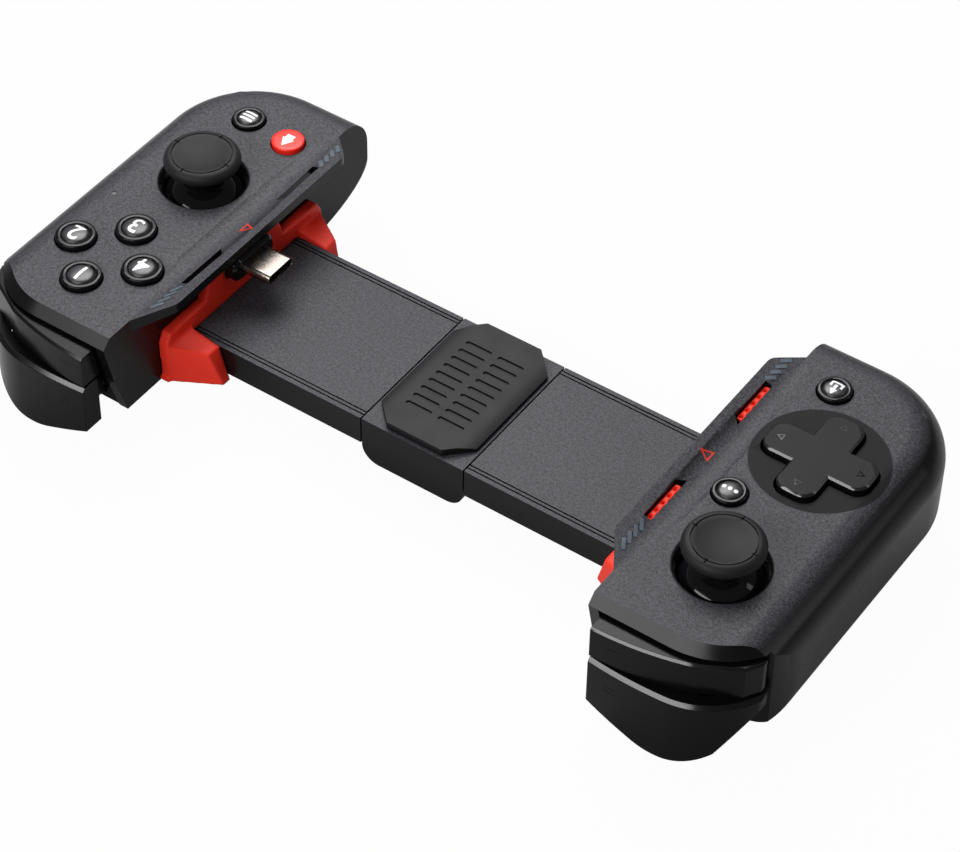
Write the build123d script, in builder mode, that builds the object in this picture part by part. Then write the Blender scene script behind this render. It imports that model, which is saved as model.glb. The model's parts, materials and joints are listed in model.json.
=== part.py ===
from build123d import *
from math import cos, pi, radians, sin, sqrt, tan
import os

# A telescopic game controller that holds a phone between two grips.
# +X points to the player's right, +Y to the shoulder side and +Z out of the face.
# The origin is on the surface it lies on, at the middle of the controller.
# Grip pieces are drawn at the right-hand grip; left-hand ones are mirrored at the end.
# A depth is measured downwards from the flat face of the grips.

# General
overrun = 10.0               # how far a cutting tool runs past what it cuts
fit = 0.1                    # gap between pieces that are fastened to each other
moving_gap = 0.3             # gap beside a piece that moves
running_fit = 0.05           # radial play of a shaft in its hole

# Grip bodies
half_span = 93.0             # middle of the controller to a grip's outer side
half_depth = 46.0            # middle of the controller to the heels and the trigger fronts
inner_wall = 57.3            # middle to the grip wall that faces the phone
shoulder_setback = 4.5       # half depth less the straight edge above the bumper
body_depth = 22.4            # face to the underside beside the belly
heel_flat = 13.7             # straight stretch of the heel beside its rounded outer corner
shoulder_radius = 18.0       # outer corner at the shoulder, seen from above
top_rounding = 8.0           # between the face and the outer side
bottom_rounding = 4.0        # between the outer side and the underside
shoulder_bevel = 2.0         # bevel along the shoulder edge
heel_straight = 12.5         # depth at which the heel starts to curve under
heel_run = 28.0              # length of the curve under the heel
shoulder_mid_setback = 6.9   # the same at the inner wall where the seam meets it
shoulder_foot_setback = 10.0 # and at the underside
shell_wall = 1.8
seam_inner_depth = 12.7      # seam between the shells at the inner wall
seam_outer_depth = 18.0      # and at the outer side
belly_x = 76.0               # the bulge that the fingers hold, and that the grip rests on
belly_y = -9.5
belly_width = 26.0
belly_length = 43.0
belly_depth = 5.8            # how far the bulge stands out of the underside
belly_corner = 9.0
belly_root = 4.0             # how far the bulge reaches up into the underside
belly_slope = 35.0           # degrees
belly_edge = 2.5

# Shoulder recess for the bumper and the trigger
recess_flange = 2.2          # inner wall left standing beside the recess
recess_roof = 2.1            # thickness left above the recess
recess_setback = 10.2        # half depth less the wall at the back of the recess
recess_wall_thickness = 1.2
recess_knee_x = 80.0         # where that wall turns towards the outer side
recess_slope = 0.400         # fall of the slanted stretch per length outwards

# Lip that overhangs the phone's end
lip_edge = 52.0              # middle to the lip's straight edge
lip_far_setback = 21.4       # shoulder end of the straight edge, from the front
lip_near_setback = 15.0      # its heel end, from the heel
lip_far_root_setback = 12.8  # shoulder end of the lip at the grip
lip_near_root_setback = 10.0
lip_rise = 0.9               # lip edge above the face
lip_edge_thickness = 2.2
lip_corner = 3.0             # rounding of the lip's two corners
lip_root_depth = 3.0         # underside of the lip at the grip
valley_x = 58.2              # hollow between the lip and the face
valley_depth = 0.7
valley_tube = 8.0
valley_fade = 0.8            # how much the hollow's floor rises towards its ends
slot_x = 55.2                # long slots in the lip
slot_width = 1.6
slot_length = 12.8
slot_far_y = 12.1
slot_near_y = -18.8

# Controls on the face
diamond_x = 73.0             # middle of the four action buttons
diamond_y = 20.5
diamond_radius = 8.7
action_hole = 4.5            # radius of an action button's hole
small_hole = 3.8             # radius of a small button's hole
button_gap = 0.3             # around a button in its hole
action_rise = 1.0            # straight side of an action button above the face
action_dome = 0.7
small_rise = 0.7
small_dome = 0.6
flange_width = 0.8           # rim that keeps a button under the face
flange_depth = 2.05
flange_thickness = 0.85
action_travel = 1.2
small_travel = 0.6
menu_place = (75.9, -29.3)
home_place = (64.6, -28.1)
more_place = (64.4, 4.1)
share_place = (66.7, -30.9)
led_place = (84.2, 5.3)
led_hole = 0.5
right_stick_place = (72.0, -8.9)
left_stick_place = (73.0, 20.5)

# Thumbsticks
stick_dish = 9.9             # radius of the dish at the face
stick_throat = 8.9           # radius of the hole below it
dish_rounding = 1.3
stick_pivot_depth = 9.5
cap_radius = 8.1
cap_top_rise = 7.0           # rim of the cap above the face
cap_rim = 1.6                # rounding of the rim
cap_under_rise = 4.2
cap_under_radius = 6.6
cap_under_slope_share = 0.5  # rise of the cap's underside per length outwards
cap_groove_radius = 6.15
cap_groove_width = 0.3
cap_groove_depth = 0.4
cap_notch_length = 1.2       # four notches across the groove
cap_hollow = 0.8             # sag of the cap's top
neck_radius = 4.4
skirt_radius = 10.4          # ball skirt that closes the hole
skirt_wall = 1.2
skirt_low_depth = 3.1
stem_radius = 1.9
stem_rise = 3.4              # top of the stem above the face
stem_foot = 4.0              # stem below its pivot
stem_foot_radius = 1.2
stem_hub_radius = 2.6
stem_hub_length = 6.0
stem_pin_radius = 0.8
click_travel = 0.4
yoke_outer = 10.0
yoke_inner = 6.4
yoke_thickness = 3.0
yoke_pin_radius = 1.0
yoke_pin_reach = 7.0
gimbal_size = 16.0
gimbal_cavity = 12.4
gimbal_depth = 16.5
gimbal_floor = 1.2

# Direction pad
pad_x = 74.0
pad_y = -13.1
pad_dish_radius = 13.8
pad_dish_depth = 0.9
pad_backing = 1.0
cross_span = 23.0
cross_width = 8.3
cross_corner = 2.8
cross_gap = 0.5
cross_rise = 1.5
cross_bevel = 0.4
cross_depth = 2.6            # underside of the cross
rocker_depth = 4.4           # rocking axes of the direction pad
rocker_radius = 6.2
rocker_bore = 4.2
rocker_thickness = 1.8
rocker_rod = 0.9
rocker_reach = 14.0
rocker_ear = 2.0
rocker_ear_width = 3.6
cross_hub = 3.0
cross_pin = 0.6
cross_pin_reach = 5.8

# Circuit boards and what stands on them
board_depth = 7.0            # face to the top of the board
board_thickness = 1.0
board_gap = 0.4
board_stick_hole = 8.0
membrane_thickness = 0.6
membrane_pad = 4.9
dome_slope = 15.0            # degrees
dome_radius = 2.2
dome_clearance = 0.25
switch_size = 3.4
switch_gap = 0.2
stalk_radius = 1.2
stalk_length = 1.5
edge_switch_length = 4.0
edge_switch_thickness = 0.6
edge_switch_height = 2.4

# Bumpers
bumper_inner = 60.2
bumper_top_depth = 3.0
bumper_bottom_depth = 10.6
bumper_front_setback = 0.8   # half depth less the front at the inner end
bumper_bow_x = 71.3
bumper_bow_setback = 1.8
bumper_bend_x = 80.5
bumper_bend_setback = 4.1
bumper_facet_inset = 4.2     # outer side less the place of the facet
bumper_facet_setback = 8.6
bumper_tip_inset = 2.3
bumper_tip_setback = 11.8
bumper_back_gap = 1.5        # room behind the bumper for its travel
bumper_pivot_x = 62.6
bumper_pivot_setback = 6.2
bumper_post = 1.0
bumper_edge = 0.5

# Triggers
trigger_inner = 60.2
trigger_top_depth = 11.3
trigger_low_depth = 27.9
trigger_front_setback = 0.5  # half depth less the front at the inner end
trigger_bow_x = 69.0
trigger_bend_x = 76.5
trigger_bend_setback = 0.3
trigger_tip_inset = 1.6      # outer side less the tip
trigger_tip_setback = 10.9
trigger_back_setback = 5.1
trigger_back_x = 82.4        # where the back turns towards the tip
trigger_back_tip_setback = 12.9
trigger_inner_low = 22.9     # depth of the lower edge at the inner end
trigger_slope_x = 70.0       # lower edge: straight to here, then round
trigger_slope_depth = 26.7
trigger_belly_x = 78.0
trigger_rise_x = 86.0
trigger_rise_depth = 24.3
trigger_tip_depth = 14.6
trigger_edge = 0.8           # light bevel along the top edge
trigger_pivot_setback = 8.0
trigger_pivot_depth = 15.0
trigger_pin_radius = 0.9
trigger_arm = 1.8
trigger_arm_inner = 60.8
trigger_arm_outer = 82.2
trigger_hub = 2.2
ear_thickness = 1.6
ear_inner = 63.0
ear_outer = 80.0
ear_foot_depth = 21.0
spring_radius = 1.6
spring_wire = 0.5
spring_turns = 7
spring_pitch = 0.95
spring_start = 67.0
spring_leg = 1.9

# Screws
shoulder_screw_inner = 5.3   # screws: from the inner wall or the outer side, then inwards
shoulder_screw_setback = 15.4
shoulder_screw_outer = 6.5
shoulder_screw_outer_setback = 17.0
heel_screw_inner = 4.9
heel_screw_setback = 7.5
heel_screw_outer = 10.5
heel_screw_outer_setback = 11.0
screw_radius = 0.8
screw_head_radius = 1.6
screw_head_height = 1.1
screw_hole = 1.0
grip_boss = 2.9
top_boss = 2.2
grip_screw_depth = 12.0      # face to the seat of the screw heads
grip_screw_tip_depth = 3.6
boss_start_depth = 17.5
small_screw_radius = 0.6
small_head_radius = 1.1
small_head_height = 0.6

# Telescopic bridge
bridge_y = -0.55             # its middle
bridge_half_width = 17.85
bridge_top_depth = 14.2
bridge_bottom_depth = 21.1
bridge_wall = 1.6
bridge_groove = 0.3          # twin lines along the long edges
bridge_groove_inset = 1.2
bridge_groove_pitch = 0.9
bridge_root = 62.5           # middle to the end inside the grip
bridge_flange = 2.4          # what holds the root behind the grip wall
centre_half = 12.3           # half length of the centre housing
bridge_boss = 1.5
bridge_boss_y = 14.6
bridge_boss_x_shares = (0.18, 0.74)
rail_thickness = 3.0
rail_edge = 12.6             # outer edge of a rail, from the bridge's middle
rail_end = 45.0              # how far a rail reaches past the middle
rail_anchor = 50.0           # where the rail thickens to fill its cover
cable_width = 4.8
cable_thickness = 0.3
cable_channel = 0.35
cable_end = 44.0

# Centre housing
centre_bottom_depth = 25.2
centre_rounding = 4.0
centre_screw_x = 8.8
centre_screw_y = 15.4
centre_pad_half = 11.6
centre_pad_near = -18.4
centre_pad_far = 16.5
centre_pad_corner = 5.0
centre_pad_thickness = 1.7
centre_pad_slope = 2.8
centre_pad_drop = 0.9
rib_rows = 9
rib_width = 1.1
rib_length = 6.2
rib_depth = 0.35
rib_column_gap = 1.6
rib_pitch = 2.6

# Rack and pinion
tooth_module = 0.8
pinion_teeth = 12
tooth_height_share = 0.75    # of the module, above the pitch line
tooth_root_share = 1.1       # of the module, below the pitch line
tooth_fill_share = 0.8       # of half a pitch, the rest is backlash
flank_angle = 20.0           # degrees
axle_radius = 1.5
axle_head = 2.4
axle_head_height = 0.8
coil_inner = 2.6
coil_spacing = 0.75          # spiral spring: growth of the radius per half turn
coil_half_turns = 7
coil_strip = 0.3
coil_height = 2.6
coil_room = 0.5

# Plug
plug_y = -0.9
plug_depth = 6.2
plug_width = 8.34
plug_height = 2.56
plug_tip = 46.0
plug_wall = 0.3
plug_mouth_width = 6.7
plug_mouth_height = 0.9
plug_mouth_length = 5.0
plug_recess = 0.3
plug_tail = 61.2
collar_width = 13.2
collar_height = 5.6
collar_corner = 2.4
collar_face = 52.6
collar_edge = 0.7
collar_flange = 0.8
collar_flange_length = 1.4

# Red cradle inserts
cradle_face = 55.0
cradle_top_half = 10.9
cradle_slope_half = 13.1
cradle_strip_half = 24.5
cradle_end_half = 26.0
cradle_strip_depth = 9.6
cradle_end_depth = 12.0
cradle_low_depth = 21.2
cradle_foot_depth = 22.2
cradle_foot = 0.8
cheek_tip = 45.5
cheek_top_tip = 48.0         # the tip's top edge, from where it flares to the foot
cheek_tip_half = 20.2
cheek_root_half = 25.5
cheek_root_depth = 12.5
cheek_tip_depth = 14.0
comb_end = 0.8               # how far the comb runs past the slots
comb_depth = 5.0
comb_face = 54.0
comb_rise_depth = 0.5        # top of the comb where it fills the slots
comb_windows = 5             # square pits along each slot
comb_window_length = 1.1
comb_window_width = 0.85
comb_window_depth = 1.2

# Worked out from the sizes above
quarter_turn = 90
face_height = body_depth + belly_depth
heel_radius = half_span - inner_wall - heel_flat
shoulder_edge = half_depth - shoulder_setback
shoulder_mid = half_depth - shoulder_mid_setback
shoulder_foot = half_depth - shoulder_foot_setback
recess_wall = half_depth - recess_setback
lip_far_y = half_depth - lip_far_setback
lip_near_y = lip_near_setback - half_depth
lip_far_root = half_depth - lip_far_root_setback
lip_near_root = lip_near_root_setback - half_depth
bumper_front = half_depth - bumper_front_setback
bumper_bow_y = half_depth - bumper_bow_setback
bumper_bend_y = half_depth - bumper_bend_setback
bumper_facet_x = half_span - bumper_facet_inset
bumper_facet_y = half_depth - bumper_facet_setback
bumper_tip_x = half_span - bumper_tip_inset
bumper_tip_y = half_depth - bumper_tip_setback
bumper_pivot_y = half_depth - bumper_pivot_setback
trigger_front = half_depth - trigger_front_setback
trigger_bend_y = half_depth - trigger_bend_setback
trigger_tip_x = half_span - trigger_tip_inset
trigger_tip_y = half_depth - trigger_tip_setback
trigger_back = half_depth - trigger_back_setback
trigger_back_tip = half_depth - trigger_back_tip_setback
trigger_pivot_y = half_depth - trigger_pivot_setback
grip_screw_places = (
    (inner_wall + shoulder_screw_inner, half_depth - shoulder_screw_setback),
    (half_span - shoulder_screw_outer, half_depth - shoulder_screw_outer_setback),
    (inner_wall + heel_screw_inner, heel_screw_setback - half_depth),
    (half_span - heel_screw_outer, heel_screw_outer_setback - half_depth),
)
pitch_radius = tooth_module * pinion_teeth / 2
tooth_pitch = pi * tooth_module
tooth_top = tooth_module * tooth_height_share
tooth_root = tooth_module * tooth_root_share
tooth_half = tooth_pitch / 4 * tooth_fill_share
hollow_top_depth = bridge_top_depth + bridge_wall
hollow_bottom_depth = bridge_bottom_depth - bridge_wall
hollow_half = bridge_half_width - bridge_wall
rail_gap = (hollow_bottom_depth - hollow_top_depth - rail_thickness) / 2
rail_top_depth = hollow_top_depth + rail_gap
rail_slot_half = rail_edge + moving_gap
cover_start = centre_half + moving_gap
board_under_depth = board_depth + board_thickness
recess_start = inner_wall + recess_flange


def height(depth):
    """Height above the resting surface of a depth below the face."""
    return face_height - depth


def outline(*points):
    """Straight-sided face in the open sketch."""
    with BuildLine() as edge:
        Polyline(*points, close=True)
    make_face(edge.edges())


def block(x_low, x_high, y_low, y_high, z_low, z_high, mode=Mode.ADD):
    """Box in the open part, given by its corners."""
    with Locations(((x_low + x_high) / 2, (y_low + y_high) / 2, (z_low + z_high) / 2)):
        Box(x_high - x_low, y_high - y_low, z_high - z_low, mode=mode)


def discs(places, radius, z_low, z_high, mode=Mode.ADD):
    """Upright round bars or holes in the open part."""
    with BuildSketch(Plane.XY.offset(z_low)) as ends:
        with Locations(*places):
            Circle(radius)
    extrude(ends.sketch, amount=z_high - z_low, mode=mode)


def hand(piece, side):
    """A piece drawn for the right-hand grip, mirrored for the left-hand one."""
    return piece if side == "right" else mirror(piece, about=Plane.YZ)


def save(piece, name):
    """Name a finished piece and write its file."""
    piece.label = name
    export_step(piece, f"parts/{name}.step")


# Grip forms, shared by the shells and the boards

def side_view(inset):
    """What the grip is, seen along X, run through its whole width."""
    low = height(body_depth) + inset
    heel = -half_depth + inset
    with BuildPart() as view:
        with BuildSketch(Plane.YZ.offset(inner_wall - overrun)):
            with BuildLine():
                Line((heel, face_height + overrun), (heel, height(heel_straight)))
                EllipticalCenterArc(
                    (-half_depth + heel_run, height(heel_straight)),
                    heel_run - inset,
                    body_depth - heel_straight - inset,
                    start_angle=180,
                    arc_size=quarter_turn,
                )
                Polyline(
                    (-half_depth + heel_run, low),
                    (shoulder_foot - inset, low),
                    (shoulder_mid - inset, height(seam_inner_depth)),
                    (shoulder_edge - inset, height(shoulder_bevel)),
                    (shoulder_edge - inset, face_height + overrun),
                    (heel, face_height + overrun),
                )
            make_face()
        extrude(amount=half_span - inner_wall + 2 * overrun)
    return view.part


def shoulder_plan(inset):
    """Outline in the open sketch that rounds the outer corner at the shoulder."""
    outer_x = half_span - inset
    front_y = shoulder_edge - inset
    radius = shoulder_radius - inset
    with BuildLine() as edge:
        Polyline(
            (outer_x, front_y - radius),
            (outer_x, -half_depth - overrun),
            (inner_wall - overrun, -half_depth - overrun),
            (inner_wall - overrun, front_y),
            (outer_x - radius, front_y),
        )
        RadiusArc((outer_x - radius, front_y), (outer_x, front_y - radius), radius)
    make_face(edge.edges())


def shoulder_view(inset):
    """What the grip is, seen from above at the shoulder, with the bevel at its top."""
    with BuildPart() as view:
        with BuildSketch(Plane.XY.offset(-overrun)):
            shoulder_plan(inset)
        extrude(amount=face_height + overrun)
        front_edge = view.faces().sort_by(Axis.Z)[-1].edges().sort_by(Axis.Y)[-1]
        chamfer(front_edge, shoulder_bevel)
    return view.part


def grip_form(inset):
    """Outer form of a grip, drawn in all round by inset."""
    low = height(body_depth) + inset
    with BuildPart() as form:
        with BuildSketch(Plane.XY.offset(low)) as plan:
            with Locations((inner_wall + inset, -half_depth + inset)):
                Rectangle(
                    half_span - inner_wall - 2 * inset,
                    2 * half_depth,
                    align=(Align.MIN, Align.MIN),
                )
            heel_corner = plan.vertices().group_by(Axis.Y)[0].sort_by(Axis.X)[-1]
            fillet(heel_corner, heel_radius - inset)
        extrude(amount=body_depth - 2 * inset)
        top_edge = form.faces().sort_by(Axis.Z)[-1].edges().sort_by(Axis.X)[-1]
        fillet(top_edge, top_rounding - inset)
        low_edge = form.faces().sort_by(Axis.Z)[0].edges().sort_by(Axis.X)[-1]
        fillet(low_edge, bottom_rounding - inset)
        add(shoulder_view(inset), mode=Mode.INTERSECT)
        add(side_view(inset), mode=Mode.INTERSECT)
        with BuildSketch(Plane.XY.offset(low)) as belly:
            with Locations((belly_x, belly_y)):
                RectangleRounded(
                    belly_width - 2 * inset, belly_length - 2 * inset, belly_corner - inset
                )
        extrude(belly.sketch, amount=belly_root)
        extrude(belly.sketch, amount=inset - low, taper=belly_slope)
        fillet(form.faces().sort_by(Axis.Z)[0].edges(), belly_edge)
    return form.part


def recess_plan(wall_y):
    """Outline in the open sketch of all that lies outside the recess's back wall."""
    outer_x = half_span + overrun
    outline(
        (inner_wall - overrun, wall_y),
        (recess_knee_x, wall_y),
        (outer_x, wall_y - (outer_x - recess_knee_x) * recess_slope),
        (outer_x, half_depth + overrun),
        (inner_wall - overrun, half_depth + overrun),
    )


def grip_hollow(inset):
    """Inside of a grip, up to the back wall of the recess."""
    with BuildPart() as hollow:
        add(grip_form(inset))
        with BuildSketch(Plane.XY.offset(-overrun)):
            recess_plan(recess_wall - recess_wall_thickness - (inset - shell_wall))
        extrude(amount=face_height + 2 * overrun, mode=Mode.SUBTRACT)
    return hollow.part


def recess_room():
    """Space for the bumper and the trigger."""
    with BuildPart() as room:
        with BuildSketch(Plane.XY.offset(-overrun)):
            recess_plan(recess_wall)
        extrude(amount=height(recess_roof) + overrun)
        block(
            inner_wall - 2 * overrun, recess_start, 0, half_depth + 2 * overrun,
            -2 * overrun, face_height + overrun, mode=Mode.SUBTRACT,
        )
    return room.part


def bridge_opening(gap):
    """Where the bridge's root passes the inner wall and sits behind it."""
    half = bridge_half_width + gap
    low = height(bridge_bottom_depth) - gap
    high = height(bridge_top_depth) + gap
    with BuildPart() as opening:
        block(inner_wall - overrun, bridge_root + gap, bridge_y - half, bridge_y + half, low, high)
        block(
            inner_wall + shell_wall, bridge_root + gap,
            bridge_y - half - bridge_flange, bridge_y + half + bridge_flange, low, high,
        )
    return opening.part


outer_form = grip_form(0)
inner_form = grip_hollow(shell_wall)
recess_form = recess_room()
seam_plane = Plane(
    origin=(inner_wall, 0, height(seam_inner_depth)),
    x_dir=(half_span - inner_wall, 0, seam_inner_depth - seam_outer_depth),
    z_dir=(seam_outer_depth - seam_inner_depth, 0, half_span - inner_wall),
)


# Top shells

def lip_form():
    """Lip over the phone's end, sloping up to its edge."""
    with BuildPart() as lip:
        with BuildSketch(Plane.XY.offset(height(lip_root_depth))):
            outline(
                (inner_wall + shell_wall, lip_near_root),
                (inner_wall, lip_near_root),
                (lip_edge, lip_near_y),
                (lip_edge, lip_far_y),
                (inner_wall, lip_far_root),
                (inner_wall + shell_wall, lip_far_root),
            )
        extrude(amount=lip_root_depth + lip_rise)
        fillet(lip.edges().filter_by(Axis.Z).sort_by(Axis.X)[:2], lip_corner)
        with BuildSketch(Plane.XZ.offset(-half_depth)):
            outline(
                (lip_edge, height(lip_edge_thickness - lip_rise)),
                (lip_edge, face_height + lip_rise),
                (inner_wall, face_height),
                (inner_wall + shell_wall, face_height),
                (inner_wall + shell_wall, height(lip_root_depth)),
                (inner_wall, height(lip_root_depth)),
            )
        extrude(amount=2 * half_depth, mode=Mode.INTERSECT)
    return lip.part


def valley_form():
    """Shallow hollow between the lip and the face, fading at both ends."""
    middle = (lip_far_root + lip_near_root) / 2
    reach = (lip_far_root - lip_near_root) / 2
    floor = height(valley_depth) + valley_tube
    with BuildPart() as valley:
        with BuildLine(Plane.YZ.offset(valley_x)) as path:
            ThreePointArc(
                (middle - reach, floor + valley_fade),
                (middle, floor),
                (middle + reach, floor + valley_fade),
            )
        with BuildSketch(Plane(origin=path.line @ 0, x_dir=(1, 0, 0), z_dir=path.line % 0)):
            Circle(valley_tube)
        sweep()
    return valley.part


def lip_slots():
    """Two long slots in the lip, each pointed towards the middle."""
    with BuildPart() as slots:
        for centre, inward in ((slot_far_y, -1), (slot_near_y, 1)):
            low_x = slot_x - slot_width / 2
            high_x = slot_x + slot_width / 2
            outer_y = centre - inward * slot_length / 2
            inner_y = centre + inward * slot_length / 2
            with BuildSketch(Plane.XY.offset(height(lip_root_depth) - overrun)):
                outline(
                    (low_x, outer_y),
                    (high_x, outer_y),
                    (high_x, inner_y),
                    (low_x, inner_y - inward * slot_width),
                )
            extrude(amount=lip_root_depth + 2 * overrun)
    return slots.part


def plug_hole(gap):
    """Outline in the open sketch of the plug's collar."""
    with Locations((plug_y, height(plug_depth))):
        RectangleRounded(collar_width + 2 * gap, collar_height + 2 * gap, collar_corner + gap)


def stick_dish_form(place):
    """Round hole for a thumbstick with a soft rim."""
    with BuildPart() as dish:
        with BuildSketch(Plane.XZ):
            with BuildLine():
                Line((0, height(shell_wall) - overrun), (stick_throat, height(shell_wall) - overrun))
                Line((stick_throat, height(shell_wall) - overrun), (stick_throat, height(dish_rounding)))
                EllipticalCenterArc(
                    (stick_dish, height(dish_rounding)),
                    stick_dish - stick_throat,
                    dish_rounding,
                    start_angle=quarter_turn,
                    arc_size=quarter_turn,
                )
                Polyline(
                    (stick_dish, face_height),
                    (stick_dish, face_height + overrun),
                    (0, face_height + overrun),
                    (0, height(shell_wall) - overrun),
                )
            make_face()
        revolve(axis=Axis.Z)
    return Pos(*place, 0) * dish.part


def cross_outline(grow):
    """Outline in the open sketch of the direction pad."""
    for turn in (0, quarter_turn):
        with Locations((pad_x, pad_y)):
            RectangleRounded(
                cross_span + 2 * grow, cross_width + 2 * grow, cross_corner + grow, rotation=turn
            )


def action_places():
    """Centres of the four action buttons, counted from the shoulder side clockwise."""
    turns = [radians(quarter_turn * step) for step in range(4)]
    return [
        (diamond_x + diamond_radius * sin(turn), diamond_y + diamond_radius * cos(turn))
        for turn in turns
    ]


def top_shell(side):
    """Upper half of a grip with its lip and the holes for its controls."""
    stick_place = right_stick_place if side == "right" else left_stick_place
    small_places = (menu_place, home_place) if side == "right" else (more_place, share_place)
    roof = face_height - shell_wall / 2
    with BuildPart() as shell:
        add(outer_form)
        add(inner_form, mode=Mode.SUBTRACT)
        add(recess_form, mode=Mode.SUBTRACT)
        split(bisect_by=seam_plane, keep=Keep.TOP)
        add(lip_form())
        add(valley_form(), mode=Mode.SUBTRACT)
        add(lip_slots(), mode=Mode.SUBTRACT)
        discs(grip_screw_places, top_boss, height(board_depth), roof)
        discs(
            grip_screw_places, screw_radius + running_fit,
            height(board_depth), height(grip_screw_tip_depth - fit), mode=Mode.SUBTRACT,
        )
        discs([(bumper_pivot_x, bumper_pivot_y)], bumper_post,
              height(bumper_bottom_depth), height(recess_roof) + fit)
        add(stick_dish_form(stick_place), mode=Mode.SUBTRACT)
        discs(small_places, small_hole, height(shell_wall) - overrun, face_height + overrun,
              mode=Mode.SUBTRACT)
        if side == "right":
            discs(action_places(), action_hole, height(shell_wall) - overrun,
                  face_height + overrun, mode=Mode.SUBTRACT)
            discs([led_place], led_hole, height(shell_wall) - overrun,
                  face_height + overrun, mode=Mode.SUBTRACT)
            with BuildSketch(Plane.YZ.offset(inner_wall - fit)):
                plug_hole(fit)
            extrude(amount=shell_wall + 2 * fit, mode=Mode.SUBTRACT)
        else:
            discs([(pad_x, pad_y)], pad_dish_radius + pad_backing,
                  height(shell_wall + pad_backing), roof)
            for way in (-1, 1):
                ear_x = pad_x + way * (rocker_reach - rocker_ear / 2)
                block(
                    ear_x - rocker_ear / 2, ear_x + rocker_ear / 2,
                    pad_y - rocker_ear_width / 2, pad_y + rocker_ear_width / 2,
                    height(rocker_depth + rocker_ear_width / 2), roof,
                )
            with BuildSketch(Plane.YZ.offset(pad_x - rocker_reach - fit)):
                with Locations((pad_y, height(rocker_depth))):
                    Circle(rocker_rod + running_fit)
            extrude(amount=2 * (rocker_reach + fit), mode=Mode.SUBTRACT)
            dish_ball = (pad_dish_radius ** 2 + pad_dish_depth ** 2) / (2 * pad_dish_depth)
            with Locations((pad_x, pad_y, height(pad_dish_depth) + dish_ball)):
                Sphere(dish_ball, mode=Mode.SUBTRACT)
            with BuildSketch(Plane.XY.offset(height(cross_depth) - cross_gap)):
                cross_outline(cross_gap)
            extrude(amount=cross_depth + overrun, mode=Mode.SUBTRACT)
    return hand(shell.part, side)


# Bottom shells

def bottom_shell(side):
    """Lower half of a grip with its screw bosses and the trigger's ears."""
    pivot_z = height(trigger_pivot_depth)
    with BuildPart() as room:
        add(inner_form)
        discs(grip_screw_places, grip_boss, -overrun, face_height, mode=Mode.SUBTRACT)
    with BuildPart() as shell:
        add(outer_form)
        add(room.part, mode=Mode.SUBTRACT)
        add(recess_form, mode=Mode.SUBTRACT)
        split(bisect_by=seam_plane, keep=Keep.BOTTOM)
        discs(grip_screw_places, grip_boss, height(boss_start_depth), height(board_under_depth))
        for ear_x in (ear_inner, ear_outer):
            with BuildSketch(Plane.YZ.offset(ear_x)):
                with Locations((trigger_pivot_y, pivot_z)):
                    Circle(trigger_hub)
                outline(
                    (trigger_pivot_y, pivot_z + trigger_hub),
                    (recess_wall + fit, pivot_z + trigger_hub),
                    (recess_wall + fit, pivot_z - trigger_hub),
                    (trigger_pivot_y, pivot_z - trigger_hub),
                )
                outline(
                    (trigger_pivot_y, pivot_z - trigger_hub + fit),
                    (recess_wall - recess_wall_thickness / 2, pivot_z - trigger_hub + fit),
                    (recess_wall - recess_wall_thickness / 2, height(ear_foot_depth)),
                    (recess_wall + fit, height(ear_foot_depth)),
                )
            extrude(amount=ear_thickness)
        with BuildSketch(Plane.YZ.offset(ear_inner - fit)):
            with Locations((trigger_pivot_y, pivot_z)):
                Circle(trigger_pin_radius + running_fit)
        extrude(amount=ear_outer + ear_thickness - ear_inner + 2 * fit, mode=Mode.SUBTRACT)
        discs(grip_screw_places, screw_hole, -overrun, face_height, mode=Mode.SUBTRACT)
        discs(grip_screw_places, screw_head_radius + fit, -overrun, height(grip_screw_depth),
              mode=Mode.SUBTRACT)
        add(bridge_opening(fit), mode=Mode.SUBTRACT)
    return hand(shell.part, side)


# Inside a grip

def circuit_board(side):
    """Board that fills the grip's plan, with holes for the stick and the screws."""
    stick_place = right_stick_place if side == "right" else left_stick_place
    with BuildPart() as board:
        add(grip_hollow(shell_wall + board_gap))
        block(
            0, half_span, -half_depth, half_depth,
            height(board_under_depth), height(board_depth), mode=Mode.INTERSECT,
        )
        discs([stick_place], board_stick_hole, 0, face_height, mode=Mode.SUBTRACT)
        discs(grip_screw_places, screw_hole, 0, face_height, mode=Mode.SUBTRACT)
        if side == "right":
            notch_half = collar_width / 2 + collar_flange + fit
            block(0, plug_tail + fit, plug_y - notch_half, plug_y + notch_half, 0, face_height,
                  mode=Mode.SUBTRACT)
    return hand(board.part, side)


def tact_switch(place):
    """Small push switch on the board, in the open part."""
    low = height(board_depth)
    high = height(flange_depth + flange_thickness + stalk_length + small_travel + switch_gap)
    x, y = place
    half = switch_size / 2
    block(x - half, x + half, y - half, y + half, low, high)


def switches(side):
    """Switches under the small buttons, behind the bumper and behind the trigger."""
    small_places = (menu_place, home_place) if side == "right" else (more_place, share_place)
    middle_x = (ear_outer + ear_inner) / 2
    bumper_z = height((bumper_top_depth + bumper_bottom_depth) / 2)
    with BuildPart() as group:
        for place in small_places:
            tact_switch(place)
        for switch_z in (bumper_z, height(ear_foot_depth)):
            block(
                middle_x - edge_switch_length / 2, middle_x + edge_switch_length / 2,
                recess_wall, recess_wall + edge_switch_thickness,
                switch_z - edge_switch_height / 2, switch_z + edge_switch_height / 2,
            )
    return hand(group.part, side)


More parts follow.
